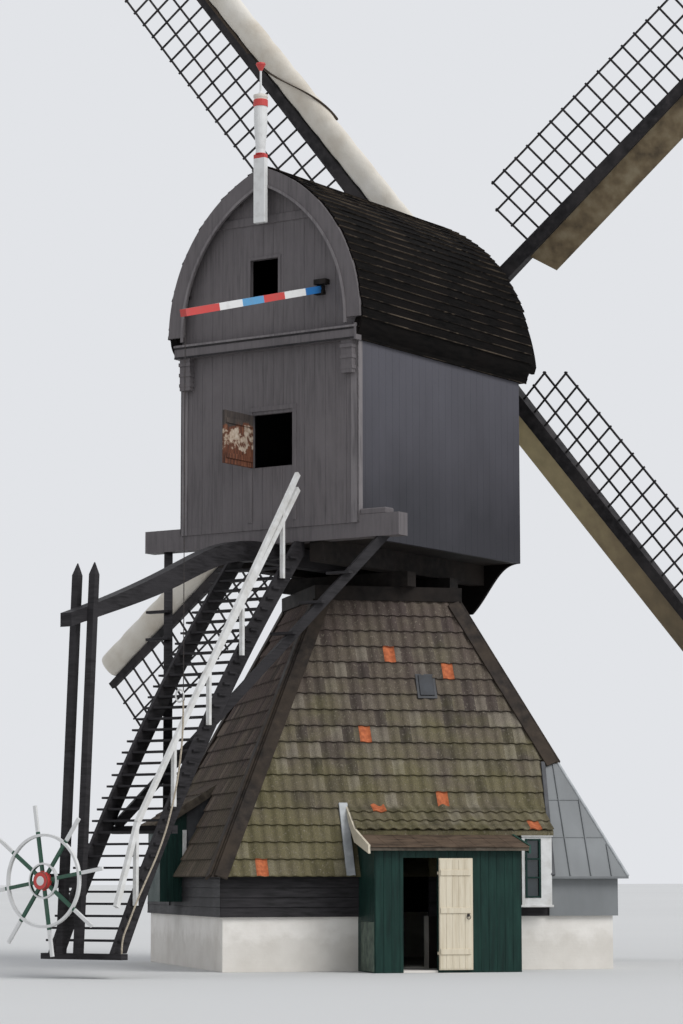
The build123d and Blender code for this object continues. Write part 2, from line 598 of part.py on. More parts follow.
def zinc():
    """Zinc over the front right hip, down to a straight box under the eaves on both sides."""
    h0, h1 = slope_half(EAVE_Z), slope_half(ZINC_TOP_Z)
    head_x = h1 - ZINC_HEAD_WIDTH
    t = ZINC_THICK
    front = [(ZINC_FOOT_X, -h0 - t, EAVE_Z), (h0 + t, -h0 - t, EAVE_Z), (h0, -h0, EAVE_Z), (ZINC_FOOT_X, -h0, EAVE_Z),
             (head_x, -h1 - t, ZINC_TOP_Z), (h1 + t, -h1 - t, ZINC_TOP_Z), (h1, -h1, ZINC_TOP_Z), (head_x, -h1, ZINC_TOP_Z)]
    out, box_out = h0 + t, BAND_HALF + ZINC_BOX_OUT
    apron = box(ZINC_FOOT_X, box_out, -box_out, -ZINC_FOOT_X, PLINTH_Z, EAVE_Z)
    drip = box(ZINC_FOOT_X, out, -out, -ZINC_FOOT_X, EAVE_Z - ZINC_DRIP, EAVE_Z)
    inside = box(ZINC_FOOT_X - PAST, BAND_HALF, -BAND_HALF, -ZINC_FOOT_X + PAST, PLINTH_Z - PAST, EAVE_Z + PAST)
    sheet = block(front) + block(mirrored_ring(front)) + (apron + drip - inside)
    return {"zinc_corner": [sheet.cut(window_hole(), flare()).solid()]}


def arch_edges(half, top_z, spring_z, side):
    """One side of the pointed arch, from its spring to its point."""
    rise = top_z - spring_z
    radius = (half ** 2 + rise ** 2) / (2 * half)
    angle = atan2(rise, radius - half) / 2
    mid = (side * (half - radius + radius * cos(angle)), spring_z + radius * sin(angle))
    return ThreePointArc((side * half, spring_z), mid, (0, top_z))


ARCH_RADIUS = (ARCH_HALF ** 2 + (ARCH_TOP_Z - ARCH_SPRING_Z) ** 2) / (2 * ARCH_HALF)


def inner_arch(thick):
    """Half width at the spring, and point height, of the arch set in by a thickness."""
    half = ARCH_HALF - thick
    radius = ARCH_RADIUS - thick
    return half, ARCH_SPRING_Z + sqrt(radius ** 2 - (radius - half) ** 2)


def across(y):
    """A plane across the house: x to the right, z up, and solids grow towards the tail."""
    return Plane(origin=(0, y, 0), x_dir=(1, 0, 0), z_dir=(0, -1, 0))


def along(x):
    """A plane along the house: y forward, z up, and solids grow to the right."""
    return Plane(origin=(x, 0, 0), x_dir=(0, 1, 0), z_dir=(1, 0, 0))


def roof_half(side):
    half, top = inner_arch(ROOF_THICK)
    eave_in = HOUSE_HALF - WALL
    tip = HOUSE_HALF + EAVE_TIP_OUT
    eave = Line((side * eave_in, HOUSE_Z1), (side * tip, HOUSE_Z1))
    sweep_in = ThreePointArc((side * tip, HOUSE_Z1),
                             (side * (ARCH_HALF - EAVE_BOW), (HOUSE_Z1 + ARCH_SPRING_Z) / 2 - EAVE_DIP),
                             (side * ARCH_HALF, ARCH_SPRING_Z))
    outer = arch_edges(ARCH_HALF, ARCH_TOP_Z, ARCH_SPRING_Z, side)
    ridge = Line((0, ARCH_TOP_Z), (0, top))
    inner = arch_edges(half, top, ARCH_SPRING_Z, side)
    back = Polyline((side * half, ARCH_SPRING_Z), (side * eave_in, HOUSE_Z1 + EAVE_FOOT), (side * eave_in, HOUSE_Z1))
    y1 = HOUSE_FRONT + ROOF_FRONT_OUT
    y0 = -HOUSE_REAR - ROOF_REAR_OUT
    shell = extrude(across(y1) * make_face(eave + sweep_in + outer + ridge + inner + back), amount=y1 - y0)
    return shell - box(-ROOF_GAP / 2, ROOF_GAP / 2, y0 - PAST, y1 + PAST, HOUSE_Z1, ARCH_TOP_Z + PAST)


def gable_face(z0):
    """The outline of an end wall from a height up to the underside of the roof."""
    half, top = inner_arch(ROOF_THICK + JOINT)
    low = HOUSE_HALF - WALL - JOINT
    pieces = arch_edges(half, top, ARCH_SPRING_Z, 1) + arch_edges(half, top, ARCH_SPRING_Z, -1)
    if z0 < HOUSE_Z1:
        rim = [(half, ARCH_SPRING_Z), (low, HOUSE_Z1 + EAVE_FOOT), (low, HOUSE_Z1 - JOINT),
               (HOUSE_HALF, HOUSE_Z1 - JOINT),
               (HOUSE_HALF, z0), (-HOUSE_HALF, z0), (-HOUSE_HALF, HOUSE_Z1 - JOINT), (-low, HOUSE_Z1 - JOINT),
               (-low, HOUSE_Z1 + EAVE_FOOT), (-half, ARCH_SPRING_Z)]
    else:
        rim = [(half, ARCH_SPRING_Z), (-half, ARCH_SPRING_Z)]
    return make_face(pieces + Polyline(*rim))


SHAFT_AXIS = (0, cos(radians(SHAFT_TILT)), sin(radians(SHAFT_TILT)))
HUB = (0, HUB_Y, HUB_Z)


def on_shaft(distance):
    """A point on the windshaft's axis, so far forward of the hub."""
    return tuple(h + distance * a for h, a in zip(HUB, SHAFT_AXIS))


def house_frame():
    parts = {}
    z0 = TOWER_TOP_Z + COLLAR_HEIGHT + SEAT_GAP
    z1 = z0 + SADDLE_HEIGHT
    end0, end1 = -HOUSE_REAR + WALL, HOUSE_FRONT - WALL
    half = SADDLE_WIDTH / 2
    pieces = [box(-COLLAR_HALF, COLLAR_HALF, y - half, y + half, z0, z1) for y in (-SADDLE_Y, SADDLE_Y)]
    pieces += [box(x - BEAM_WIDTH / 2, x + BEAM_WIDTH / 2, end0, end1, z1, HOUSE_Z0)
               for x in (-BEAM_HALF, BEAM_HALF)]
    parts["saddle_frame"] = [(pieces[0].fuse(*pieces[1:]) - cross_beam(JOINT)).solid()]
    inner = HOUSE_HALF - WALL
    floor = box(-inner, inner, end0, end1, HOUSE_Z0, HOUSE_Z0 + HOUSE_FLOOR)
    floor -= Pos(0, 0, HOUSE_Z0 - PAST) * extrude(Circle(POST_OUTER / 2 + POST_GAP), HOUSE_FLOOR + 2 * PAST)
    parts["house_floor"] = [(floor - cross_beam(JOINT)).solid()]
    parts["cross_beam"] = [cross_beam()]
    return parts


def cross_beam(play=0.0):
    """The long beam across the foot of the rear wall, or the space that is left for it."""
    half, rear = HOUSE_HALF + CROSS_BEAM_PAST + play, -HOUSE_REAR
    return box(-half, half, rear - play, rear + CROSS_BEAM_DEPTH + play,
               CROSS_BEAM_Z0 - play, CROSS_BEAM_Z0 + CROSS_BEAM_HEIGHT + play)


def rear_wall():
    """The wall over the cross beam: beside its door, above it, and the door's two leaves."""
    rear, inside = -HOUSE_REAR, -HOUSE_REAR + WALL
    door0, door1 = REAR_DOOR_X0, REAR_DOOR_X0 + REAR_DOOR_WIDTH
    gap, thick = LEAF_GAP, REAR_LEAF_THICK
    foot = REAR_DOOR_Z0 + JOINT
    top = slab_face(gable_face(REAR_DOOR_Z1), inside, WALL)
    top -= box(HATCH_X0, HATCH_X0 + HATCH_WIDTH, rear - PAST, inside + PAST, HATCH_Z0, HATCH_Z1)
    top -= Pos(0, 0, BRAKE_SLOT) * brake_pole(BRAKE_SIZE + 2 * BRAKE_SLOT)
    return {
        "rear_wall_sides": [
            box(-HOUSE_HALF, door0, rear, inside, foot, REAR_DOOR_Z1),
            box(door1, HOUSE_HALF, rear, inside, foot, REAR_DOOR_Z1)],
        "rear_wall_top": [top.solid()],
        "lower_leaf": [box(door0 + JOINT, door1 - JOINT, rear, rear + thick, foot, REAR_LEAF_SPLIT_Z - gap)],
        "upper_leaf": [box(door0 - thick, door0, rear - REAR_DOOR_WIDTH, rear, REAR_LEAF_SPLIT_Z, REAR_DOOR_Z1)]}


def slab_face(face, y, thick):
    """An upright plate across the house from its face inside, growing towards the tail."""
    return extrude(across(y) * face, amount=thick)


def front_wall():
    """The wall behind the sails, with the windshaft's hole and the curved apron below."""
    front = HOUSE_FRONT
    wall = slab_face(gable_face(HOUSE_Z0), front, WALL)
    wall -= rod(on_shaft(0), on_shaft(-2 * (HUB_Y - HOUSE_FRONT)), SHAFT_RADIUS + NECK_GAP)
    x, z = APRON_SHOULDER
    lean_x, lean_z = APRON_LEAN
    right = Spline((HOUSE_HALF, HOUSE_Z0), (x, z), (APRON_HALF, APRON_Z), tangents=[(-1, 0), (-lean_x, lean_z)])
    left = Spline((-HOUSE_HALF, HOUSE_Z0), (-x, z), (-APRON_HALF, APRON_Z), tangents=[(1, 0), (lean_x, lean_z)])
    rim = Line((HOUSE_HALF, HOUSE_Z0), (-HOUSE_HALF, HOUSE_Z0)) + Line((APRON_HALF, APRON_Z), (-APRON_HALF, APRON_Z))
    apron = slab_face(make_face(right + left + rim), front, WALL)
    return {"front_wall": [(wall + apron + hood()).solid()]}


def hood():
    """The arched shell that carries the roof's line forward of the front wall, with a raked front edge."""
    spring = ARCH_SPRING_Z
    outer, outer_top = inner_arch(ROOF_THICK + JOINT)
    inner, inner_top = inner_arch(ROOF_THICK + JOINT + HOOD_THICK)
    low = HOUSE_HALF - WALL - JOINT
    foot = outer - (spring - HOOD_FOOT_Z) * (outer - low) / (spring - HOUSE_Z1 - EAVE_FOOT)
    rim = arch_edges(outer, outer_top, spring, 1) + arch_edges(outer, outer_top, spring, -1)
    for side in (1, -1):
        rim += arch_edges(inner, inner_top, spring, side)
        rim += Polyline((side * outer, spring), (side * foot, HOOD_FOOT_Z), (side * (foot - HOOD_THICK), HOOD_FOOT_Z),
                        (side * inner, spring))
    reach = HOOD_REACH_Y + (spring - HOOD_FOOT_Z) * HOOD_RAKE
    shell = extrude(across(reach) * make_face(rim), amount=reach - HOUSE_FRONT)
    top_y = HOOD_REACH_Y - (ARCH_TOP_Z - spring) * HOOD_RAKE
    ahead = [(reach, HOOD_FOOT_Z), (top_y, ARCH_TOP_Z), (reach + PAST, ARCH_TOP_Z), (reach + PAST, HOOD_FOOT_Z)]
    return shell - slab(ahead, along(-ARCH_HALF), 2 * ARCH_HALF)


def gable_trim():
    """The boards, beam and corbels on the rear gable, and the finial on its point."""
    parts = {}
    rear = -HOUSE_REAR
    half, top_in = inner_arch(FASCIA_WIDTH)
    spring = ARCH_SPRING_Z
    rim = Line((ARCH_HALF, spring), (half, spring)) + Line((-half, spring), (-ARCH_HALF, spring))
    for side in (1, -1):
        rim += arch_edges(ARCH_HALF, ARCH_TOP_Z, spring, side) + arch_edges(half, top_in, spring, side)
    y = rear - ROOF_REAR_OUT
    parts["rear_fascia"] = [slab_face(make_face(rim), y, FASCIA_THICK).solid()]
    z1 = GABLE_BEAM_Z0 + GABLE_BEAM_HEIGHT
    beam_half = HOUSE_HALF + GABLE_BEAM_PAST
    beam = box(-beam_half, beam_half, y - GABLE_BEAM_OUT, rear, GABLE_BEAM_Z0, z1)
    for side in (1, -1):
        beam -= roof_half(side)
    parts["gable_beam"] = [beam.solid()]
    reach = CORBEL_WIDTH / 2
    parts["corbels"] = [
        box(x - reach, x + reach, rear - CORBEL_DEPTH, rear, GABLE_BEAM_Z0 - CORBEL_HEIGHT, GABLE_BEAM_Z0)
        for x in (CORBEL_INSET - HOUSE_HALF, HOUSE_HALF - CORBEL_INSET)]
    y -= FASCIA_THICK
    head = FINIAL_PLANK_TOP_Z
    plank = box(-FINIAL_PLANK_HALF, FINIAL_PLANK_HALF, y - FINIAL_PLANK_THICK, y, FINIAL_Z0, head)
    profile = [(0, head)] + [(r, head + rise) for r, rise in FINIAL_TURNING] + [(0, head + FINIAL_TURNING[-1][1])]
    middle = y - FINIAL_PLANK_THICK / 2
    stem = revolve(across(middle) * make_face(Polyline(*profile, close=True)), Axis((0, middle, 0), (0, 0, 1)))
    parts["finial"] = [(plank + stem).solid()]
    return parts


def house_walls():
    inner = HOUSE_HALF - WALL
    rear, front = -HOUSE_REAR + WALL, HOUSE_FRONT - WALL
    sides = [box(side * inner, side * HOUSE_HALF, rear, front, HOUSE_Z0, HOUSE_Z1) for side in (-1, 1)]
    parts = {"house_side_walls": [(wall - cross_beam(JOINT)).solid() for wall in sides]}
    parts.update(rear_wall())
    parts.update(front_wall())
    parts["house_roof"] = [roof_half(side).solid() for side in (1, -1)]
    parts.update(gable_trim())
    parts["brake_pole"] = [brake_pole(BRAKE_SIZE)]
    parts["brake_line"] = [brake_line()]
    parts["brake_rope"] = [free_cord(ROPE_POINTS, ROPE_RADIUS)]
    return parts


def brake_pole(size):
    """The brake lever, through the rear wall and far out over the tail."""
    y0, z0 = BRAKE_START
    y1, z1 = BRAKE_END
    inside = y0 + BRAKE_INSIDE
    z = z0 + BRAKE_INSIDE * (z1 - z0) / (y1 - y0)
    return bar((BRAKE_X, inside, z), (BRAKE_X, y1, z1), size, size)


def brake_line():
    """The taut iron line from the lever's end down to the socket that holds the rope."""
    y = BRAKE_END[0] + LINE_BACK
    line = rod((BRAKE_X, y, LINE_FOOT_Z), (BRAKE_X, y, BRAKE_START[1]), LINE_RADIUS) - brake_pole(BRAKE_SIZE)
    low = min(line.solids(), key=lambda piece: piece.center().Z)
    return (low + rod((BRAKE_X, y, LINE_FOOT_Z), (BRAKE_X, y, LINE_FOOT_Z + LINE_EYE_HEIGHT), LINE_EYE_RADIUS)).solid()


BEND_SHARE = 0.45           # share of the shorter run beside a bend that its arc takes


def bend_radii(points):
    """The radius of the arc at each inner point of a cord's route."""
    runs = [Vector(*b) - Vector(*a) for a, b in zip(points, points[1:])]
    radii = []
    for before, after in zip(runs, runs[1:]):
        turn = radians(before.get_angle(after))
        radii.append(BEND_SHARE * min(before.length, after.length) / tan(turn / 2))
    return radii


def free_cord(points, radius):
    """A rope as a tube of straight runs and tangent arcs through a route."""
    radii = bend_radii(points)
    print("rope bend radii", [round(r) for r in radii])
    route = FilletPolyline(*points, radius=radii)
    start = Plane(origin=route @ 0, z_dir=route % 0)
    return sweep(start * Circle(radius), path=route).solid()


def shaft_beams():
    """The frame that carries the windshaft behind the sails, and the beam under its rear end."""
    inner = HOUSE_HALF - WALL
    front = HOUSE_FRONT - WALL
    back = front - NECK_DEPTH
    neck = box(-NECK_HALF, NECK_HALF, back, front, NECK_Z0, NECK_Z1)
    ledge = box(-inner, inner, back, front, LEDGE_Z0, LEDGE_Z1)
    posts = [box(x - NECK_POST / 2, x + NECK_POST / 2, back, front, LEDGE_Z1, NECK_Z0) for x in (-NECK_POST_X, NECK_POST_X)]
    middle_z = HUB_Z - (HUB_Y - SHAFT_TAIL_Y) * tan(radians(SHAFT_TILT))
    tail_beam = box(-inner, inner, SHAFT_TAIL_Y - TAIL_BEARING / 2, SHAFT_TAIL_Y + TAIL_BEARING / 2,
                    middle_z - TAIL_BEARING, middle_z + TAIL_BEARING)
    bore = rod(on_shaft(0), on_shaft(-SHAFT_TAIL - TAIL_BEARING), SHAFT_RADIUS + AXLE_GAP)
    frame = neck.fuse(ledge, *posts)
    return {"shaft_beams": [(frame - bore).solid(), (tail_beam - bore).solid()]}


def circle_through(a, b, c):
    """Centre and radius of the circle through three points."""
    (ax, ay), (bx, by), (cx, cy) = a, b, c
    d = 2 * (ax * (by - cy) + bx * (cy - ay) + cx * (ay - by))
    ux = ((ax ** 2 + ay ** 2) * (by - cy) + (bx ** 2 + by ** 2) * (cy - ay) + (cx ** 2 + cy ** 2) * (ay - by)) / d
    uy = ((ax ** 2 + ay ** 2) * (cx - bx) + (bx ** 2 + by ** 2) * (ax - cx) + (cx ** 2 + cy ** 2) * (bx - ax)) / d
    return (ux, uy), hypot(ax - ux, ay - uy)


STAIR_CENTRE, STAIR_RADIUS = circle_through(STAIR_TOP, STAIR_MID, STAIR_FOOT)


def stair_y(z, inset=0.0):
    """Where the stairs' curve is at a height, or a curve set under it."""
    r = STAIR_RADIUS - inset
    return STAIR_CENTRE[0] - sqrt(r ** 2 - (z - STAIR_CENTRE[1]) ** 2)


def tail_beam():
    """The long curved beam under the house that swings it round."""
    level, bottom = TAIL_TOP_Z, TAIL_TOP_Z - TAIL_DEPTH
    flat, inner = TAIL_FLAT_Y, TAIL_INNER_Y
    bend_y, bend_z = TAIL_BEND
    end_y, end_z = TAIL_END
    upper = Spline((flat, level), TAIL_BEND, TAIL_END, tangents=[(-1, 0), (-1, -TAIL_FALL)])
    lower = Spline((flat, bottom), (bend_y, bend_z - TAIL_DEPTH), (end_y, end_z - TAIL_END_DEPTH),
                   tangents=[(-1, 0), (-1, -TAIL_FALL)])
    rim = Polyline((flat, level), (inner, level), (inner, bottom), (flat, bottom))
    end = Line(TAIL_END, (end_y, end_z - TAIL_END_DEPTH))
    return extrude(along(-TAIL_WIDTH / 2) * make_face(upper + lower + rim + end), amount=TAIL_WIDTH).solid()


def tail_posts():
    """Two posts clasping the beam's end and hanging nearly to the ground."""
    shift = (TAIL_WIDTH + TAIL_POST_SIDE) / 2
    posts = []
    for x in (-shift, shift):
        foot, top = Vector(x, *TAIL_POST_FOOT), Vector(x, *TAIL_POST_TOP)
        rise = (top - foot).normalized()
        body = bar(tuple(foot), tuple(top), TAIL_POST_SIDE, TAIL_POST_DEPTH, up=(0, 1, 0))
        tip = top + rise * TAIL_POST_POINT
        depth = Vector(1, 0, 0).cross(rise)
        point = []
        for centre, side, deep in ((top, TAIL_POST_SIDE, TAIL_POST_DEPTH), (tip, TAIL_POST_TIP, TAIL_POST_TIP)):
            for sx, sy in ((-1, 1), (1, 1), (1, -1), (-1, -1)):
                point.append(tuple(centre + Vector(sx * side / 2, 0, 0) + depth * (sy * deep / 2)))
        posts.append((body + block(point)).solid())
    return posts


def stair_outline():
    """The stringers' curved side view, level at the foot and upright at the house."""
    foot, head = STAIR_FOOT[1] - STRINGER_SEAT, CROSS_BEAM_Z0
    ring = Pos(*STAIR_CENTRE) * (Circle(STAIR_RADIUS) - Circle(STAIR_RADIUS - STRINGER_DEPTH))
    far = 2 * STAIR_FOOT[0]
    frame = make_face(Polyline((far, foot), (STAIR_HEAD_Y, foot), (STAIR_HEAD_Y, head), (far, head), close=True))
    return ring & frame


def stairs():
    parts = {}
    z_top, z_foot = STAIR_TOP[1], STAIR_FOOT[1]
    rise = (z_top - z_foot) / (TREAD_COUNT + 1)
    beam = tail_beam()
    treads = []
    for i in range(1, TREAD_COUNT + 1):
        z = z_foot + i * rise
        y = stair_y(z) + TREAD_NOSE
        tread = box(-TREAD_HALF, TREAD_HALF, y, y + TREAD_DEPTH, z - TREAD_THICK, z)
        treads += tread.cut(beam).solids()
    parts["stair_treads"] = treads
    outline = stair_outline()
    plain = []
    for x in STRINGER_XS:
        plain.append(extrude(along(x - STRINGER_THICK / 2) * outline, amount=STRINGER_THICK).solid())
    parts["stair_stringers"] = [s.cut(*treads).solid() for s in plain]
    foot_y = stair_y(z_foot)
    z = z_foot - STRINGER_SEAT
    parts["stair_foot"] = [box(FOOT_BEAM_X0, FOOT_BEAM_X1, foot_y, foot_y + FOOT_BEAM, z - FOOT_BEAM_HEIGHT, z)]
    parts["tail_struts"] = [tail_struts(plain, treads)]
    return parts


def tail_struts(stringers, treads):
    """Two braces from the ends of the cross beam that meet under the stairs, and their tie."""
    sx, sy, sz = STRUT_TOP
    fx, fy, fz = STRUT_FOOT
    bars = []
    for side in (1, -1):
        top, foot = Vector(side * sx, sy, sz), Vector(side * fx, fy, fz)
        head = top + (top - foot).normalized() * STRUT_SIZE
        bars.append(bar(tuple(head), tuple(foot), STRUT_SIZE, STRUT_SIZE))
    half = STRUT_SIZE / 2
    tie = box(*STRINGER_XS, fy - half, fy + half, fz - STRUT_TIE_HEIGHT, fz)
    frame = bars[0].fuse(bars[1], tie)
    over = box(-2 * sx, 2 * sx, 2 * fy, 0, CROSS_BEAM_Z0, HOUSE_Z1)
    frame = frame.cut(over, *stringers, *treads)
    return max(frame.solids(), key=lambda piece: piece.volume)


def stair_z(y):
    """How high the stairs' curve is at a place along them."""
    return STAIR_CENTRE[1] + sqrt(STAIR_RADIUS ** 2 - (y - STAIR_CENTRE[0]) ** 2)


def rail_height(y):
    """The upper handrail's height over a place along the stairs."""
    for (ya, za), (yb, zb) in zip(RAIL_POINTS, RAIL_POINTS[1:]):
        if yb <= y <= ya:
            return za + (y - ya) * (zb - za) / (yb - ya)


def stair_rail():
    x = TREAD_HALF + RAIL_SIZE / 2
    half = RAIL_SIZE / 2
    pieces = []
    for (ya, za), (yb, zb) in zip(RAIL_POINTS, RAIL_POINTS[1:]):
        pieces.append(bar((x, ya, za), (x, yb, zb), RAIL_SIZE, RAIL_DEPTH))
    top_y, top_z = RAIL_POINTS[0]
    merge = (x, RAIL_MERGE_Y, rail_height(RAIL_MERGE_Y))
    pieces.append(bar((x, top_y, top_z - RAIL_DROP), merge, RAIL_SIZE, RAIL_DEPTH))
    for y in RAIL_POSTS:
        pieces.append(box(x - half, x + half, y - half, y + half, stair_z(y) - RAIL_POST_UNDER, rail_height(y)))
    return pieces[0].fuse(*pieces[1:]).solid()


def tail():
    parts = {"tail_beam": [tail_beam()], "tail_posts": tail_posts()}
    parts.update(stairs())
    parts["stair_rail"] = [stair_rail()]
    return parts


def winding_wheel():
    parts = {}
    hub = (WHEEL_X, WHEEL_Y, WHEEL_Z)
    face = Plane(origin=(WHEEL_X, WHEEL_Y + WHEEL_THICK / 2, WHEEL_Z), x_dir=(1, 0, 0), z_dir=(0, -1, 0))
    rim = Circle(WHEEL_RADIUS) - Circle(WHEEL_RADIUS - WHEEL_RIM)
    ring = Circle(WHEEL_INNER) - Circle(WHEEL_INNER - WHEEL_INNER_RIM)
    flat = extrude(face * (rim + ring), amount=WHEEL_THICK)
    boss = extrude(face * Circle(WHEEL_HUB), amount=WHEEL_THICK + WHEEL_HUB_OUT)
    spokes = []
    for i in range(SPOKES):
        a = radians(SPOKE_START + 360 / SPOKES * i)
        tip = (WHEEL_X + HANDLE_RADIUS * cos(a), WHEEL_Y, WHEEL_Z + HANDLE_RADIUS * sin(a))
        spokes.append(bar(hub, tip, SPOKE_SIZE, SPOKE_THICK, up=(0, 1, 0)))
    end = (WHEEL_X, WHEEL_Y + AXLE_LENGTH, WHEEL_Z)
    axle = rod(hub, end, AXLE_RADIUS)
    parts["winding_wheel"] = [flat.fuse(boss, axle, *spokes).solid()]
    bore = rod(hub, (WHEEL_X, WHEEL_Y + 2 * AXLE_LENGTH, WHEEL_Z), AXLE_RADIUS + AXLE_GAP)
    z0, z1 = WHEEL_Z - BEARING_HALF, WHEEL_Z + BEARING_HALF
    x0, x1 = WHEEL_X - BEARING_REACH, -(TAIL_WIDTH / 2 + TAIL_POST_SIDE)
    near = box(x0, x1, BEARING_NEAR_Y, BEARING_NEAR_Y + BEARING_THICK, z0, z1)
    far = box(x0, x1, BEARING_FAR_Y - BEARING_THICK, BEARING_FAR_Y, z0, z1)
    rail = box(x1 - BEARING_RAIL, x1, BEARING_NEAR_Y, BEARING_FAR_Y, z0, z1)
    parts["wheel_bearings"] = [(near + far + rail - bore).solid()]
    return parts


def sail_plane(angle):
    """The frame of one sail: x out along its stock, y to its lattice side, z back to the house."""
    t = radians(SHAFT_TILT)
    a = radians(angle)
    out = (cos(a), -sin(t) * sin(a), cos(t) * sin(a))
    back = tuple(-c for c in SHAFT_AXIS)
    return Plane(origin=HUB, x_dir=out, z_dir=back)


STOCK_OFFSET = STOCK_DEPTH_ROOT / 2 + STOCK_PLAY
SAIL_OFFSETS = [-STOCK_OFFSET, STOCK_OFFSET, -STOCK_OFFSET, STOCK_OFFSET]


def stock(z):
    """One stock for two opposite sails, thickest in the hub."""
    w0, w1, d0, d1 = STOCK_ROOT / 2, STOCK_TIP / 2, STOCK_DEPTH_ROOT / 2, STOCK_DEPTH_TIP / 2
    halves = []
    for way in (1, -1):
        r = way * SAIL_RADIUS
        ring = [(0, -w0, z - d0), (0, w0, z - d0), (0, w0, z + d0), (0, -w0, z + d0),
                (r, -w1, z - d1), (r, w1, z - d1), (r, w1, z + d1), (r, -w1, z + d1)]
        if way > 0:
            ring = [ring[i] for i in (0, 3, 2, 1, 4, 7, 6, 5)]
        halves.append(block(ring))
    return (halves[0] + halves[1]).solid()


def weather(r):
    """The lattice's slant to the plane of the sails, more near the hub."""
    share = (SAIL_RADIUS - r) / (SAIL_RADIUS - LATTICE_START)
    return WEATHER_TIP + (WEATHER_HEEL - WEATHER_TIP) * share


def stock_half(r):
    return (STOCK_ROOT + (STOCK_TIP - STOCK_ROOT) * r / SAIL_RADIUS) / 2


def lattice(z):
    """Cross bars from the stock and straight laths that tie them, as one piece.

    The innermost bar stops at the last lath but one."""
    last = SAIL_RADIUS - LATTICE_END
    count = int((last - LATTICE_START) / LATTICE_STEP)
    half = LATTICE_BAR / 2
    pieces = []
    for i in range(count + 1):
        r = last - i * LATTICE_STEP
        share = 1 - 1 / LATTICE_LATHS if i == count else 1
        slat = box(r - half, r + half, 0, stock_half(r) + LATTICE_WIDTH * share + LATTICE_NIB, -half, half)
        pieces.append(Pos(0, 0, z) * Rot(weather(r), 0, 0) * slat)
    for k in range(1, LATTICE_LATHS + 1):
        r0 = last - count * LATTICE_STEP - LATTICE_NIB
        if k == LATTICE_LATHS:
            r0 += LATTICE_STEP
        ends = []
        for r in (r0, SAIL_RADIUS):
            d = stock_half(r) + LATTICE_WIDTH * k / LATTICE_LATHS
            a = radians(weather(r))
            ends.append((r, d * cos(a), z + d * sin(a)))
        pieces.append(bar(ends[0], ends[1], LATTICE_BAR, LATTICE_BAR))
    return pieces[0].fuse(*pieces[1:]).cut(stock(z)).solid()


def leading_board(z):
    """A long board on the stock's other edge, leaning forward."""
    a = radians(BOARD_TILT)
    ring = []
    for r in (BOARD_START, SAIL_RADIUS - LATTICE_END):
        near = -stock_half(r)
        far_y, far_z = near - BOARD_WIDTH * cos(a), z - BOARD_WIDTH * sin(a)
        ring += [(r, near, z), (r, near, z + BOARD_THICK / cos(a)),
                 (r, far_y - BOARD_THICK * sin(a), far_z + BOARD_THICK * cos(a)), (r, far_y, far_z)]
    near = -stock_half(BOARD_START)
    corner = [(BOARD_START - PAST, near), (BOARD_START, near), (BOARD_START_OUT, near - BOARD_WIDTH),
              (BOARD_START - PAST, near - BOARD_WIDTH)]
    return block(ring) - slab(corner, Plane.XY.offset(z - BOARD_WIDTH), 2 * BOARD_WIDTH)


def cloth_roll(z):
    """The sail cloth, rolled up along the stock's other edge."""
    place = []
    for r in (ROLL_START, ROLL_END):
        place.append((r, -stock_half(r) - CLOTH_PLAY - ROLL_HALF_WIDTH, z))
    start, end = Vector(*place[0]), Vector(*place[1])
    section = Plane(origin=start, x_dir=(0, 0, 1), z_dir=(end - start).normalized())
    return extrude(section * Ellipse(ROLL_HALF_DEPTH, ROLL_HALF_WIDTH), amount=(end - start).length)


def sails():
    parts = {}
    planes = [sail_plane(SAIL_REST + 90 * k) for k in range(4)]
    front = planes[0].location * stock(-STOCK_OFFSET)
    back = planes[1].location * stock(STOCK_OFFSET)
    parts["front_stock"] = [front]
    parts["back_stock"] = [back]
    shaft = rod(on_shaft(-SHAFT_TAIL), on_shaft(-POLL_LENGTH / 2), SHAFT_RADIUS)
    poll = planes[0].location * Box(POLL_SIZE, POLL_SIZE, POLL_LENGTH)
    parts["windshaft"] = [(shaft + poll - front - back).solid()]
    for k, plane in enumerate(planes):
        parts[f"sail_lattice_{k + 1}"] = [plane.location * lattice(SAIL_OFFSETS[k])]
    dressings = {"leading_boards": [], "cloth_rolls": []}
    for plane, offset, dress in zip(planes, SAIL_OFFSETS, SAIL_DRESS):
        if dress == "boarded":
            dressings["leading_boards"].append(plane.location * leading_board(offset))
        else:
            dressings["cloth_rolls"].append(plane.location * cloth_roll(offset))
    parts.update(dressings)
    return parts


def build_all():
    os.makedirs("parts", exist_ok=True)
    door, pins = porch_door()
    parts = {**door, **pins}
    for maker in (tower, porch, small_porch, window, zinc):
        parts.update(maker())
    for maker in (house_frame, house_walls, shaft_beams, tail, winding_wheel, sails):
        parts.update({name: turned(solids, HOUSE_TURN) for name, solids in maker().items()})
    for name, solids in parts.items():
        write(name, solids)


build_all()
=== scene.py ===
"""Looks of a hollow post mill: tiles, boards, paint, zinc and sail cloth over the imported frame."""
import json
import math

import bpy
from bpy.props import FloatProperty, FloatVectorProperty, IntProperty, PointerProperty
from mathutils import Matrix, Vector

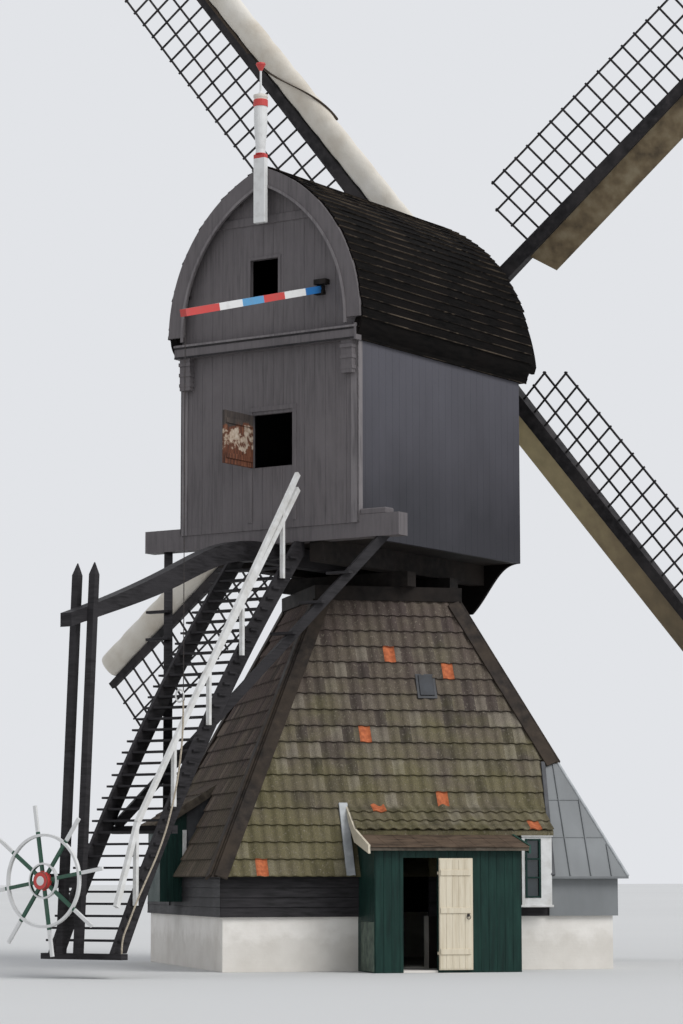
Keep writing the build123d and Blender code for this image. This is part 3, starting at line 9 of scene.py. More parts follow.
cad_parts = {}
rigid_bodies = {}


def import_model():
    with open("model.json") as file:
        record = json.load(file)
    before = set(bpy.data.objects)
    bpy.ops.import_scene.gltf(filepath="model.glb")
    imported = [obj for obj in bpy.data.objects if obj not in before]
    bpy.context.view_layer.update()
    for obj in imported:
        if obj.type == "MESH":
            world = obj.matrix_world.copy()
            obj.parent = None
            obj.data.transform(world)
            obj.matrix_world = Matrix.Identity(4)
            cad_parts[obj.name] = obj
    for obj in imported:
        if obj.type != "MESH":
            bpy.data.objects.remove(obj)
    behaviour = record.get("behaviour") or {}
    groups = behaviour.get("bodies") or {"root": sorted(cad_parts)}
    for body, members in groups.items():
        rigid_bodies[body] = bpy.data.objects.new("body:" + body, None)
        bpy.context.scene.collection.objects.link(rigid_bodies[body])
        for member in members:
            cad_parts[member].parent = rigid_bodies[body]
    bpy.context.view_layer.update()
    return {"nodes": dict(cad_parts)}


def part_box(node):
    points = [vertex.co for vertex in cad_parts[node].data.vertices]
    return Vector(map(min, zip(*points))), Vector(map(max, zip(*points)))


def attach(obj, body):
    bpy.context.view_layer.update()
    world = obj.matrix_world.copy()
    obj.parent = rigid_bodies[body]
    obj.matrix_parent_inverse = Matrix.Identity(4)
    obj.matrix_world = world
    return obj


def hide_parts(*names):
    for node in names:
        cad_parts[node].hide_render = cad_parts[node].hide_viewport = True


bl_info = {
    "name": "Post mill looks",
    "version": (1, 0, 0),
    "blender": (4, 5, 0),
    "location": "View3D > Sidebar > Mill",
    "description": "Dresses a hollow post mill in tiles, boards, zinc, paint and cloth",
    "category": "Object",
}

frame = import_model()

# The tower, read from the frame
SLOPE_LOW, SLOPE_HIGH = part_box("tile_slope_front")
EAVE_Z, EAVE_HALF = SLOPE_LOW.z, SLOPE_HIGH.x
TOWER_TOP_Z, TOWER_TOP_HALF = SLOPE_HIGH.z, 1.385
SLOPE_RISE = TOWER_TOP_Z - EAVE_Z
SLOPE_RUN = (EAVE_HALF - TOWER_TOP_HALF) / SLOPE_RISE
SLOPE_LEAN = math.atan(SLOPE_RUN)
SLOPE_LENGTH = math.hypot(SLOPE_RISE, EAVE_HALF - TOWER_TOP_HALF)
QUARTERS = {"front": 0, "right": 90, "rear": 180, "left": 270}
HIP_WIDTH = 0.225
BAND_LOW, BAND_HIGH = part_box("board_band")
BAND_COURSES = 4
PLINTH_LOW, PLINTH_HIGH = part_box("plinth")
PORCH_LOW, PORCH_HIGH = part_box("porch_walls")
PORCH_ROOF_LOW, PORCH_ROOF_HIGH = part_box("porch_roof")
PORCH_PITCH = math.radians(11.5)
PORCH_ROOF_BOARDS = 9
PANEL_REAR_Y, PANEL_TOP_Z = -3.96, 0.9
FLARE_LOW, FLARE_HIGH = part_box("flared_tiles")
FLARE_RISE = 0.485
SMALL_LOW, SMALL_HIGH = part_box("small_porch_walls")
SMALL_POST_X = -3.66
SMALL_ROOF_LOW, SMALL_ROOF_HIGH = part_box("small_porch_roof")
SMALL_RUN = SMALL_ROOF_HIGH.x - SMALL_ROOF_LOW.x
SMALL_RISE = SMALL_RUN * 0.642
SMALL_EAVE_Z = SMALL_ROOF_HIGH.z - SMALL_RISE
WINDOW_LOW, WINDOW_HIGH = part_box("window_frame")
PANE_X, PANE_Z = (1.95, 2.195), (1.34, 2.36)
ZINC_LOW, ZINC_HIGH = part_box("zinc_corner")
ZINC_EDGE_X, ZINC_EDGE_LEAN = 2.46, 0.066
ZINC_SEAMS_X, ZINC_SEAMS_Z = (2.8, 3.2, 3.6), (2.4, 3.1)
LIGHT_LOW, LIGHT_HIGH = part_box("roof_light")

# Tiles and boards; newer tiles by their place across the front and their height
TILE_WIDTH = 0.222
TILE_ROWS = 17
COURSE = SLOPE_LENGTH / TILE_ROWS
TILE_LIFT = 0.036
TILE_LAP = 1.12
TILE_COVER = 1.04
TILE_CURVES = 8
NEW_TILES = ((-0.111, 5.81), (0.999, 5.42), (-0.777, 4.1), (0.555, 3.0), (-2.997, 1.72))
NEW_FLARED_TILES = ((-0.735, 2.95), (2.125, 2.62))
BOARD = 0.014
DOOR_BOARD = 0.010

# The upper house in its own square frame, tail towards -Y, and how it stands on the tower
HOUSE = Matrix.Rotation(math.radians(-47.2), 4, "Z")
HOUSE_HALF = 2.007
HOUSE_REAR, HOUSE_FRONT = -3.508, 2.431
HOUSE_Z0, HOUSE_Z1 = 7.93, 11.607
APRON_Z = 6.9
SIDES = ((1, "right"), (-1, "left"))
ARCH_HALF = 2.2
ARCH_SPRING_Z, ARCH_TOP_Z = 12.0, 15.1
ARCH_RISE = ARCH_TOP_Z - ARCH_SPRING_Z
ARCH_RADIUS = (ARCH_HALF ** 2 + ARCH_RISE ** 2) / (2 * ARCH_HALF)
ARCH_SWEEP = math.asin(ARCH_RISE / ARCH_RADIUS)
ARCH_FACE_Y = -3.72
EAVE_TIP_HALF = 2.04
ROOF_REAR_Y, ROOF_FRONT_Y = HOUSE_REAR - 0.15, HOUSE_FRONT + 0.16
ROOF_LEAN = math.radians(7)
RIDGE_PITCH = 22
BEAM_TOP_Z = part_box("cross_beam")[1].z
SKIRT_Z = BEAM_TOP_Z - 0.14
GABLE_BEAM_LOW, GABLE_BEAM_HIGH = (corner.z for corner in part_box("gable_beam"))
GABLE_BEAM_Y = -3.698
REAR_DOOR = (-0.36, 0.56)
LEAF_WIDTH = 0.92
LEAF_Z = tuple(corner.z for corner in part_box("upper_leaf"))
HATCH_X, HATCH_Z, HATCH_TRIM = (-0.47, 0.29), (12.59, 13.42), 0.06
CORBEL_X = 1.86
CORBEL_LEDGES = ((11.44, 0.175), (11.24, 0.165), (11.04, 0.155))
FINIAL_Y = -3.785
FINIAL_PLANK = ((-0.13, -3.84, 14.0), (0.13, -3.73, 15.33))
FINIAL_PROFILE = (
    (0.10, 15.33), (0.09, 15.42), (0.115, 15.7), (0.13, 16.0), (0.125, 16.24), (0.14, 16.26),
    (0.14, 16.38), (0.12, 16.40), (0.14, 16.44), (0.14, 16.48), (0.05, 16.51), (0.022, 16.56),
    (0.020, 16.94), (0.035, 16.97), (0.095, 17.08), (0.085, 17.11))
BRAKE_FREE = HOUSE @ Vector((1.21, -7.85, 11.49))
BRAKE_FIXED = HOUSE @ Vector((1.21, -3.5, 12.64))
WHEEL_HUB = HOUSE @ Vector((-0.33, -9.64, 1.64))
STRUT_CLEATS = ((-1, (0.235, 0.34)), (1, (0.13, 0.235, 0.345)))

# The sails: the hub, the shaft's tilt, how each sail lies, and the cloths rolled up beside two of them
HUB = Vector((0, 3.448, 13.29))
SHAFT_TILT = math.radians(12.5)
SAIL_RADIUS = 12.83
SAIL_REST = 35.3
LEADING_SAIL = 3
STOCK_OFFSET = 0.155
STOCK_ROOT, STOCK_TIP = 0.32, 0.15
ROLL_HALF_WIDTH, ROLL_HALF_DEPTH = 0.29, 0.17
ROLL_START, ROLL_END = 2.0, 12.63
ROLL_PARTS = 14
TIE_START, TIE_END, TIE_TURN = 7.5, 5.3, 200

# The rope's route in the house's frame, from the line's socket to the foot of the stairs
ROPE_ROUTE = [
    (1.210, -7.790, 4.720), (1.210, -7.790, 4.300), (1.196, -7.822, 3.840), (1.170, -7.885, 3.370),
    (1.132, -7.982, 2.905), (1.088, -8.120, 2.450), (1.040, -8.305, 2.030), (0.988, -8.520, 1.650),
    (0.938, -8.720, 1.280), (0.896, -8.890, 0.910), (0.870, -9.030, 0.650), (0.870, -9.030, 0.420)]
ROPE_RADIUS = 0.016
LOOP_PLACE = (1.15, -7.815, 4.80)

CAMERA_PLACE = (-14.307, -56.317, 1.697)
CAMERA_YAW, CAMERA_PITCH, CAMERA_ROLL = 13.70, 7.036, -0.09
CAMERA_LENS = 103.96


# Selecting and shaping

def deselect():
    bpy.ops.object.select_all(action="DESELECT")


def in_mode(mode):
    bpy.ops.object.mode_set(mode=mode)


def activate(piece):
    deselect()
    piece.select_set(True)
    bpy.context.view_layer.objects.active = piece


def edit_all(piece):
    """Goes into edit mode with all of a piece selected."""
    activate(piece)
    in_mode("EDIT")
    bpy.ops.mesh.select_all(action="SELECT")


def at(x, y, z):
    return Matrix.Translation((x, y, z))


def tilted(angle, axis="X"):
    return Matrix.Rotation(angle, 4, axis)


def turned(degrees, spot=(0, 0, 0)):
    """A turn about the upright axis at a spot."""
    return at(*spot) @ tilted(math.radians(degrees), "Z")


def apply_place(piece):
    activate(piece)
    bpy.ops.object.transform_apply(location=True, rotation=True, scale=True)
    return piece


def place(piece, matrix):
    """Moves a piece by a matrix and puts the move into its mesh."""
    piece.matrix_world = matrix @ piece.matrix_world
    return apply_place(piece)


def added(name):
    """The piece that an operator has just added, under its name."""
    bpy.context.object.name = name
    return bpy.context.object


def block(name, low, high):
    """A block between two corners, to be shaped further."""
    deselect()
    low, high = Vector(low), Vector(high)
    bpy.ops.mesh.primitive_cube_add(size=1, location=(low + high) / 2, scale=high - low)
    return apply_place(added(name))


def round_bar(name, start, end, radius):
    start, end = Vector(start), Vector(end)
    deselect()
    bpy.ops.mesh.primitive_cylinder_add(vertices=12, radius=radius, depth=(end - start).length)
    turn = (end - start).to_track_quat("Z", "Y").to_matrix().to_4x4()
    return place(added(name), at(*(start + end) / 2) @ turn)


def torus(name, major, minor, steps):
    deselect()
    bpy.ops.mesh.primitive_torus_add(major_radius=major, minor_radius=minor, major_segments=steps,
                                     minor_segments=8)
    return added(name)


def turning(name, profile):
    """A turned piece, drawn up ring by ring through pairs of radius and height."""
    radius, height = profile[0]
    deselect()
    bpy.ops.mesh.primitive_circle_add(vertices=24, radius=radius, location=(0, 0, height), fill_type="NGON")
    piece = apply_place(added(name))
    edit_all(piece)
    for wide, high in profile[1:]:
        bpy.ops.mesh.extrude_region_move(TRANSFORM_OT_translate={"value": (0, 0, high - height)})
        bpy.ops.transform.resize(value=(wide / radius, wide / radius, 1))
        radius, height = wide, high
    in_mode("OBJECT")
    return piece


def apply_modifier(piece, kind, **values):
    activate(piece)
    modifier = piece.modifiers.new(kind.title(), kind)
    for key, value in values.items():
        setattr(modifier, key, value)
    bpy.ops.object.modifier_apply(modifier=modifier.name)
    return piece


def soften(piece, width):
    return apply_modifier(piece, "BEVEL", width=width, segments=1, limit_method="ANGLE")


def repeat(piece, count, offset, **values):
    return apply_modifier(piece, "ARRAY", count=count, use_relative_offset=False,
                          use_constant_offset=True, constant_offset_displace=offset, **values)


def join(pieces, name):
    deselect()
    for piece in pieces:
        piece.select_set(True)
    bpy.context.view_layer.objects.active = pieces[0]
    if len(pieces) > 1:
        bpy.ops.object.join()
    pieces[0].name = name
    return pieces[0]


def on_picked(piece, kind, test, action):
    """Selects the vertices or faces whose place passes a test, and does something to them."""
    activate(piece)
    in_mode("EDIT")
    bpy.ops.mesh.select_mode(type=kind)
    bpy.ops.mesh.select_all(action="DESELECT")
    in_mode("OBJECT")
    if kind == "VERT":
        parts, flags = piece.data.vertices, [bool(test(v.co)) for v in piece.data.vertices]
    else:
        parts, flags = piece.data.polygons, [bool(test(p.center)) for p in piece.data.polygons]
    parts.foreach_set("select", flags)
    in_mode("EDIT")
    if any(flags):
        action()
    in_mode("OBJECT")


def move_picked(piece, test, offset):
    on_picked(piece, "VERT", test, lambda: bpy.ops.transform.translate(value=offset))


def delete_faces(piece, test):
    on_picked(piece, "FACE", test, lambda: bpy.ops.mesh.delete(type="FACE"))


def paint_faces(piece, test, finish):
    """Gives the faces that pass a test a second finish."""
    if finish not in piece.data.materials:
        piece.data.materials.append(FINISHES[finish])

    def paint():
        piece.active_material_index = piece.data.materials.find(finish)
        bpy.ops.object.material_slot_assign()
    on_picked(piece, "FACE", test, paint)


def bisect(piece, point, normal, **options):
    edit_all(piece)
    bpy.ops.mesh.bisect(plane_co=point, plane_no=normal, **options)
    in_mode("OBJECT")


def slice_off(piece, point, normal):
    """Cuts a piece by a plane and drops what lies on the normal's side."""
    bisect(piece, point, normal, use_fill=True, clear_outer=True)


def wobble(piece, amount, seed):
    """Hand-made unevenness, the same on each run."""
    edit_all(piece)
    bpy.ops.transform.vertex_random(offset=amount, seed=seed)
    in_mode("OBJECT")


def cut_to(piece, node, shift):
    """Keeps what of a piece lies in a CAD node's shape, moved a little."""
    activate(frame["nodes"][node])
    bpy.ops.object.duplicate()
    shape = bpy.context.object
    bpy.ops.object.parent_clear(type="CLEAR_KEEP_TRANSFORM")
    edit_all(shape)
    bpy.ops.mesh.remove_doubles(threshold=0.00005)
    in_mode("OBJECT")
    place(shape, at(*shift))
    apply_modifier(piece, "BOOLEAN", operation="INTERSECT", solver="EXACT", object=shape)
    bpy.data.objects.remove(shape)
    return piece


def settle(piece, body, finish):
    """Hands a finished piece to its body with its finish."""
    materials = piece.data.materials
    if not materials:
        materials.append(FINISHES[finish])
    elif materials[0] is None:
        materials[0] = FINISHES[finish]
    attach(piece, body)
    return piece


def assemble(parts, name, where, body, finish):
    """Joins parts into one piece, moves it and hands it to its body."""
    return settle(place(join(parts, name), where), body, finish)


# Finishes

FINISHES = {}
UPRIGHT, LEVEL, EVEN = (6, 6, 0.5), (1, 1, 8), (2, 2, 2)

# Each wood: its colour, its worn and dark tones, grain and roughness, then where wear starts and shine
WOODS = {
    "dark_boards": ("house", (112, 107, 108), (90, 86, 87), UPRIGHT, 0.62),
    "trim_boards": ((122, 117, 118), (136, 131, 131), (96, 92, 93), UPRIGHT, 0.6),
    # Painted shadow: the near-black finish of the strips laid along the gable beam where its shade falls
    "tarred_wood": ("tar", (58, 54, 54), (18, 17, 18), EVEN, 0.6),
    "black_boards": ("tar", (58, 56, 58), (20, 19, 20), LEVEL, 0.62),
    "hip_wood": ((56, 49, 44), (78, 68, 58), (30, 27, 25), EVEN, 0.8),
    "roof_boards": ("roof", (26, 23, 22), (8, 8, 8), (1, 1, 5), 0.9, 0.45, 0.05),
    "roof_edges": ((34, 30, 27), (112, 100, 86), (12, 11, 10), (2.2, 2.2, 4), 0.85, 0.45, 0.05),
    "board_edges": ((96, 88, 78), (124, 114, 100), (54, 48, 42), EVEN, 0.85),
    "sail_wood": ((50, 48, 49), (74, 70, 70), (28, 27, 28), EVEN, 0.75),
    "green_boards": ("green", (34, 66, 58), (16, 38, 34), UPRIGHT, 0.5, 0.6),
    "panel_green": ((96, 110, 98), (124, 134, 120), (62, 74, 66), EVEN, 0.6, 0.6),
    "cream_boards": ("cream", (228, 219, 198), (206, 194, 170), UPRIGHT, 0.5, 0.6),
    "white_paint": ("white", (240, 240, 238), (202, 200, 195), EVEN, 0.5, 0.6),
    "brown_boards": ("brown", (116, 98, 82), (56, 46, 38), LEVEL, 0.8),
    "timber": ((34, 30, 28), (50, 44, 40), (18, 16, 15), EVEN, 0.85),
}

# Each plain finish: roughness, metal and shine, its stains and their colours, and the bumps of some
PLAINS = {
    "zinc": (0.6, 0.1, 0.5, (0.9, 5, (1, 1, 0.4)),
             [(0.3, (108, 110, 111)), (0.55, "zinc"), (0.8, (140, 143, 144))], (6, 2), 0.06, 0.02),
    "zinc_edge": (0.55, 0.1, 0.5, (5,), [(0.3, (150, 154, 156)), (0.7, (184, 187, 188))],
                  (20, 2), 0.1, 0.01),
    "lead": (0.6, 0.1, 0.5, (3, 5), [(0.3, (44, 45, 48)), (0.7, (76, 77, 80))], (12, 3), 0.2, 0.01),
    "iron": (0.55, 0.4, 0.5, (30,), [(0.4, (38, 38, 40)), (0.8, (74, 60, 50))], (80,), 0.2, 0.004),
    "new_tile": (0.85, 0, 0.5, (14, 5), [(0.35, (158, 82, 48)), (0.65, "new_tile")], (60,), 0.4, 0.006),
    "rope": (0.9, 0, 0.5, (40,), [(0.3, (132, 122, 108)), (0.7, (194, 182, 162))], (120,), 0.4, 0.003),
    "dark_rope": (0.9, 0, 0.5, (40,), [(0.3, (46, 38, 32)), (0.7, (84, 72, 58))], (120,), 0.4, 0.003),
    "glass": (0.08, 0, 0.8, (2,), [(0.3, (26, 32, 36)), (0.7, (48, 58, 62))]),
    "dim_glass": (0.5, 0, 0.3, (3,), [(0.3, (34, 36, 40)), (0.7, (58, 62, 68))]),
    "stage_floor": (0.95, 0, 0.5, (0.02,), [(0.3, (206, 206, 204)), (0.7, (212, 212, 210))]),
}


def tone(red, green, blue):
    """A colour as seen on a screen, 0 to 255, as linear values."""
    def straight(value):
        value /= 255
        return value / 12.92 if value <= 0.04045 else ((value + 0.055) / 1.055) ** 2.4
    return (straight(red), straight(green), straight(blue), 1.0)


def shade(value):
    """A colour's linear values, from the name of a setting or from screen values."""
    if isinstance(value, str):
        return tuple(getattr(bpy.context.scene.mill_colours, value))
    return tone(*value)


def is_socket(value):
    return isinstance(value, bpy.types.NodeSocket)


class Finish:
    """One node material, kept under its name, and the few steps that build it."""

    def __init__(self, name, roughness, metallic=0.0, shine=0.5):
        self.material = FINISHES[name] = bpy.data.materials.new(name)
        self.material.use_nodes = True
        self.nodes = self.material.node_tree.nodes
        self.links = self.material.node_tree.links
        self.shader = self.nodes["Principled BSDF"].inputs
        self.shader["Roughness"].default_value = roughness
        self.shader["Metallic"].default_value = metallic
        self.shader["Specular IOR Level"].default_value = shine
        self.coordinates = self.nodes.new("ShaderNodeTexCoord").outputs["Object"]

    def node(self, kind, inputs, **settings):
        """A node with its settings, its inputs linked to a socket or set to a value."""
        node = self.nodes.new("ShaderNode" + kind)
        for key, value in settings.items():
            setattr(node, key, value)
        for key, value in inputs.items():
            if is_socket(value):
                self.links.new(value, node.inputs[key])
            else:
                node.inputs[key].default_value = value
        return node

    def mapped(self, scale=(1, 1, 1), turn=(0, 0, 0), shift=(0, 0, 0)):
        return self.node("Mapping", {"Scale": scale, "Rotation": turn, "Location": shift,
                                     "Vector": self.coordinates}).outputs["Vector"]

    def noise(self, scale, detail=4.0, stretch=(1, 1, 1), roughness=0.55):
        return self.node("TexNoise", {"Scale": scale, "Detail": detail, "Roughness": roughness,
                                      "Vector": self.mapped(stretch)}).outputs["Fac"]

    def ramp(self, value, stops, hard=False, linear=False):
        """Colours along a value, from pairs of a position and a colour."""
        node = self.node("ValToRGB", {"Fac": value})
        node.color_ramp.interpolation = "CONSTANT" if hard else "LINEAR"
        points = node.color_ramp.elements
        points.remove(points[1])
        for i, (position, colour) in enumerate(stops):
            point = points.new(position) if i else points[0]
            point.position = position
            point.color = (*(colour if linear else shade(colour)[:3]), 1)
        return node.outputs["Color"]

    def mask(self, value, *stops, hard=False):
        """Shares along a value, from pairs of a position and a share."""
        return self.ramp(value, [(position, (share,) * 3) for position, share in stops], hard, True)

    def mix(self, factor, first, second):
        first, second = (value if is_socket(value) else shade(value) for value in (first, second))
        return self.node("Mix", {"Factor": factor, 6: first, 7: second}, data_type="RGBA").outputs[2]

    def sum(self, first, second, operation="ADD"):
        return self.node("Math", {0: first, 1: second}, operation=operation).outputs[0]

    def vector(self, operation, *values):
        return self.node("VectorMath", dict(enumerate(values)), operation=operation).outputs

    def axis(self, vector, which):
        return self.node("SeparateXYZ", {0: vector}).outputs[which]

    def height(self, foot, span=1.0):
        """How far up a height lies from a foot, in spans."""
        level = self.sum(self.axis(self.coordinates, 2), foot, "SUBTRACT")
        return level if span == 1.0 else self.sum(level, span, "DIVIDE")

    def uneven(self, value, noise, amount):
        """A value pushed up and down by noise."""
        return self.sum(value, self.sum(self.sum(noise, 0.5, "SUBTRACT"), amount, "MULTIPLY"))

    def colour(self, value):
        self.links.new(value, self.shader["Base Color"])

    def bump(self, height, strength, distance):
        """One more layer of bumps over those before it."""
        node = self.node("Bump", {"Strength": strength, "Distance": distance, "Height": height})
        normal = self.shader["Normal"]
        if normal.links:
            self.links.new(normal.links[0].from_socket, node.inputs["Normal"])
        self.links.new(node.outputs["Normal"], normal)


def wood_finish(name, base, worn, dark, grain, roughness, wear=0.45, shine=0.2):
    """Painted or bare boards: streaks along the grain, weathered patches and dirt."""
    finish = Finish(name, roughness, shine=shine)
    streaks = finish.noise(3.0, 6.0, grain)
    patches = finish.noise(1.1, 5.0)
    paint = finish.ramp(streaks, [(0.3, dark), (0.55, base), (0.8, worn)])
    faded_and_shaded = finish.mix(finish.mask(patches, (wear, 0), (wear + 0.3, 1)), paint, worn)
    fine = finish.noise(40.0, 3.0, grain)
    finish.colour(finish.mix(finish.mask(fine, (0.35, 0.25), (0.7, 0)), faded_and_shaded, dark))
    finish.links.new(finish.mask(patches, (0.3, roughness - 0.12), (0.8, roughness + 0.15)),
                     finish.shader["Roughness"])
    finish.bump(fine, 0.25, 0.006)
    finish.bump(streaks, 0.3, 0.01)


def plain_finish(name, roughness, metallic, shine, stains, stops, bumps=None, strength=0.0, depth=0.0):
    finish = Finish(name, roughness, metallic, shine)
    finish.colour(finish.ramp(finish.noise(*stains), stops))
    if bumps:
        finish.bump(finish.noise(*bumps), strength, depth)


def make_finishes():
    for name, values in WOODS.items():
        wood_finish(name, *values)
    for name, values in PLAINS.items():
        plain_finish(name, *values)
    tile_finish("front_tiles", 0, "moss", (146, 138, 122), (52, 46, 40), (110, 104, 62), (82, 68, 64))
    tile_finish("side_tiles", 1, "shade_tile", (122, 108, 96), (44, 35, 31), (84, 76, 54), (78, 62, 56))
    for make in (side_sheen_finish, leaf_finish, painted_bands, masonry_finish, cloth_finish, leading_finish):
        make()


def side_sheen_finish():
    """The smooth side boards, bluish grey and lighter upwards as a painted sky sheen, darker towards their
    foot.
    """
    finish = Finish("side_boards", 0.6, shine=0.25)
    share = finish.uneven(finish.height(HOUSE_Z0, 4.0), finish.noise(0.7, 4.0, (1, 1, 0.6)), 0.9)
    # Painted sheen: the bluish tones, lighter towards the top, stand in for the sky's sheen on the side
    # walls
    paint = finish.ramp(share, [(0.1, (50, 50, 55)), (0.45, "house_side"), (0.95, (84, 83, 90))])
    fine = finish.noise(30.0, 3.0, UPRIGHT)
    finish.colour(finish.mix(finish.mask(fine, (0.35, 0.2), (0.7, 0)), paint, (52, 51, 57)))
    finish.bump(fine, 0.15, 0.004)


def leaf_finish():
    """The open door leaf: rust brown below, flaking cream in the middle, grey above."""
    finish = Finish("rusty_boards", 0.85)
    edge = finish.uneven(finish.height(LEAF_Z[0]), finish.noise(5.0, 5.0), 0.7)
    grain = finish.noise(4.0, 6.0, (6, 6, 0.7))
    rust = finish.ramp(grain, [(0.3, (52, 32, 24)), (0.5, (104, 60, 40)), (0.75, (140, 92, 66))])
    flakes = finish.ramp(finish.noise(9.0, 6.0), [(0.42, (96, 58, 40)), (0.5, (176, 156, 136)),
                                                  (0.7, (206, 192, 174))])
    grey = finish.ramp(grain, [(0.3, (44, 40, 39)), (0.7, (84, 74, 68))])
    middle = finish.mask(edge, (0, 0), (0.34, 0), (0.38, 1), (0.62, 1), (0.66, 0))
    upper = finish.mask(edge, (0.7, 0), (0.76, 1))
    finish.colour(finish.mix(upper, finish.mix(middle, rust, flakes), grey))
    finish.bump(grain, 0.4, 0.008)


def tile_finish(name, axis, base, light, dark, moss, bare):
    """Weathered pantiles: each its own tone, with lichen specks and painted shade in the laps."""
    finish = Finish(name, 0.88)
    rise = COURSE * math.cos(SLOPE_LEAN)
    cell = finish.mapped((1 / TILE_WIDTH, 1 / TILE_WIDTH, 1 / rise), shift=(0.5, 0.5, -EAVE_Z / rise))
    whole = finish.vector("FLOOR", cell)[0]
    column, row = finish.axis(whole, axis), finish.axis(whole, 2)
    number = finish.sum(finish.sum(column, 17.0, "MULTIPLY"), finish.sum(row, 5.3, "MULTIPLY"))
    chance = finish.nodes.new("ShaderNodeTexWhiteNoise")
    chance.noise_dimensions = "1D"
    finish.links.new(number, chance.inputs["W"])
    own = finish.ramp(chance.outputs["Value"], [(0.0, dark), (0.35, base), (0.8, base), (1.0, light)])
    lap = finish.axis(finish.vector("FRACTION", cell)[0], 2)
    # Painted shade: each course is darkened along its lower end and under the lip of the course above
    shaded = finish.mix(finish.mask(lap, (0.0, 0.75), (0.16, 0), (0.8, 0), (1.0, 0.5)), own, dark)
    share = finish.uneven(finish.height(EAVE_Z, SLOPE_RISE), finish.noise(1.3, 9.0), 1.6)
    mossy = finish.mix(finish.mask(share, (0.15, 0.55), (0.6, 0)), shaded, moss)
    browned = finish.mix(finish.mask(share, (0.45, 0), (1.0, 0.75)), mossy, bare)
    lichen = finish.noise(26.0, 3.0, (1, 1, 0.6), 0.7)
    specked = finish.mix(finish.mask(lichen, (0.58, 0), (0.66, 0.6)), browned, light)
    speck = finish.noise(60.0, 4.0)
    finish.colour(finish.mix(finish.mask(speck, (0.35, 0.5), (0.6, 0)), specked, dark))
    finish.bump(speck, 0.5, 0.01)


def distance_along(start, way):
    """Measures how far past a point something lies along a direction."""
    return lambda finish: finish.vector("DOT_PRODUCT", finish.mapped(shift=-Vector(start)), way)["Value"]


def distance_from(centre):
    return lambda finish: finish.vector("LENGTH", finish.mapped(shift=-centre))["Value"]


def banded_finish(name, span, measure, bands):
    """Paint in sharp bands, each from its place on along a measured distance in metres."""
    finish = Finish(name, 0.5)
    share = finish.sum(measure(finish), span, "DIVIDE")
    paint = finish.ramp(share, [(start / span, colour) for start, colour in bands], hard=True)
    dirt = finish.mask(finish.noise(6.0, 6.0), (0.5, 0), (0.8, 0.25))
    finish.colour(finish.mix(dirt, paint, (120, 112, 104)))
    finish.bump(finish.noise(50.0, 3.0), 0.15, 0.004)


def painted_bands():
    red, white, blue, sky = (196, 66, 62), "white", (36, 106, 168), (86, 150, 194)
    lever = BRAKE_FIXED - BRAKE_FREE
    banded_finish("lever_paint", lever.length + 1, distance_along(BRAKE_FREE, lever.normalized()), [
        (0, red), (1.02, white), (1.76, sky), (2.44, red), (3.13, white), (3.83, blue),
        (4.38, (40, 38, 42))])
    foot = (0, 0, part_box("finial")[0].z)
    banded_finish("finial_paint", 4.0, distance_along(foot, (0, 0, 1)), [
        (0, white), (1.24, red), (1.33, white), (2.24, red), (2.38, (222, 214, 204)), (2.50, white),
        (2.95, red)])
    banded_finish("wheel_paint", 1.4, distance_from(WHEEL_HUB), [
        (0, red), (0.03, white), (0.07, (60, 130, 190)), (0.085, white), (0.115, red), (0.165, "wheel"),
        (0.268, white), (0.302, "wheel"), (0.742, white), (0.792, "wheel"), (0.83, white)])
    banded_finish("verge_paint", 4.0, distance_along((PORCH_ROOF_LOW.x - 0.1, 0, 0), (1, 0, 0)), [
        (0, "cream"), (2.0, (26, 70, 60))])


def masonry_finish():
    """Limewashed brick with a little splashed dirt near the ground."""
    wash = Finish("masonry", 0.9)
    splash = wash.sum(wash.axis(wash.coordinates, 2), wash.noise(3.0, 6.0), "SUBTRACT")
    lime = wash.ramp(wash.noise(1.4, 8.0), [(0.3, (224, 219, 211)), (0.6, "lime")])
    wash.colour(wash.mix(wash.mask(splash, (0.0, 0.25), (0.2, 0)), lime, (176, 168, 154)))
    brick = wash.node("TexBrick", {"Scale": 1.0, "Brick Width": 0.21, "Row Height": 0.065,
                                   "Mortar Size": 0.006,
                                   "Vector": wash.mapped(turn=(math.radians(90), 0, 0))})
    wash.bump(brick.outputs["Fac"], 0.15, 0.005)
    wash.bump(wash.noise(18.0, 5.0), 0.25, 0.01)


def cloth_finish():
    cloth = Finish("sail_cloth", 0.9)
    weave = cloth.noise(220.0, 2.0)
    plain = cloth.ramp(cloth.noise(1.2, 6.0), [(0.3, (206, 196, 180)), (0.55, "cloth"),
                                               (0.8, (240, 236, 228))])
    cloth.colour(cloth.mix(cloth.mask(weave, (0.4, 0.15), (0.6, 0)), plain, (150, 134, 110)))
    cloth.shader["Sheen Weight"].default_value = 0.2
    cloth.bump(weave, 0.3, 0.002)
    cloth.bump(cloth.noise(7.0, 3.0), 0.35, 0.03)


def leading_finish():
    """The leading boards: cream on one sail, darkening outwards as painted shade where the board twists
    edge-on, bare wood on the others.
    """
    leading = Finish("leading_paint", 0.75)
    along = HOUSE.to_3x3() @ sail_axes(LEADING_SAIL).to_3x3().col[0]
    reach = leading.sum(distance_along(HOUSE @ HUB, along)(leading), SAIL_RADIUS, "DIVIDE")
    grain = leading.noise(1.0, 8.0, (3, 3, 3))
    share = leading.sum(reach, leading.sum(grain, 0.3, "MULTIPLY"))
    # Painted shade: the cream darkens towards the tip, standing in for the twisted board turning edge-on
    faded_and_shaded = leading.ramp(share, [(0.3, (214, 198, 150)), (0.62, (150, 134, 104)), (0.95, (70, 62, 54))])
    bare = leading.ramp(grain, [(0.3, (84, 72, 54)), (0.5, (122, 106, 80)), (0.75, (150, 138, 112))])
    leading.colour(leading.mix(leading.mask(reach, (0, 0), (0.08, 1), hard=True), bare, faded_and_shaded))
    leading.bump(grain, 0.2, 0.01)


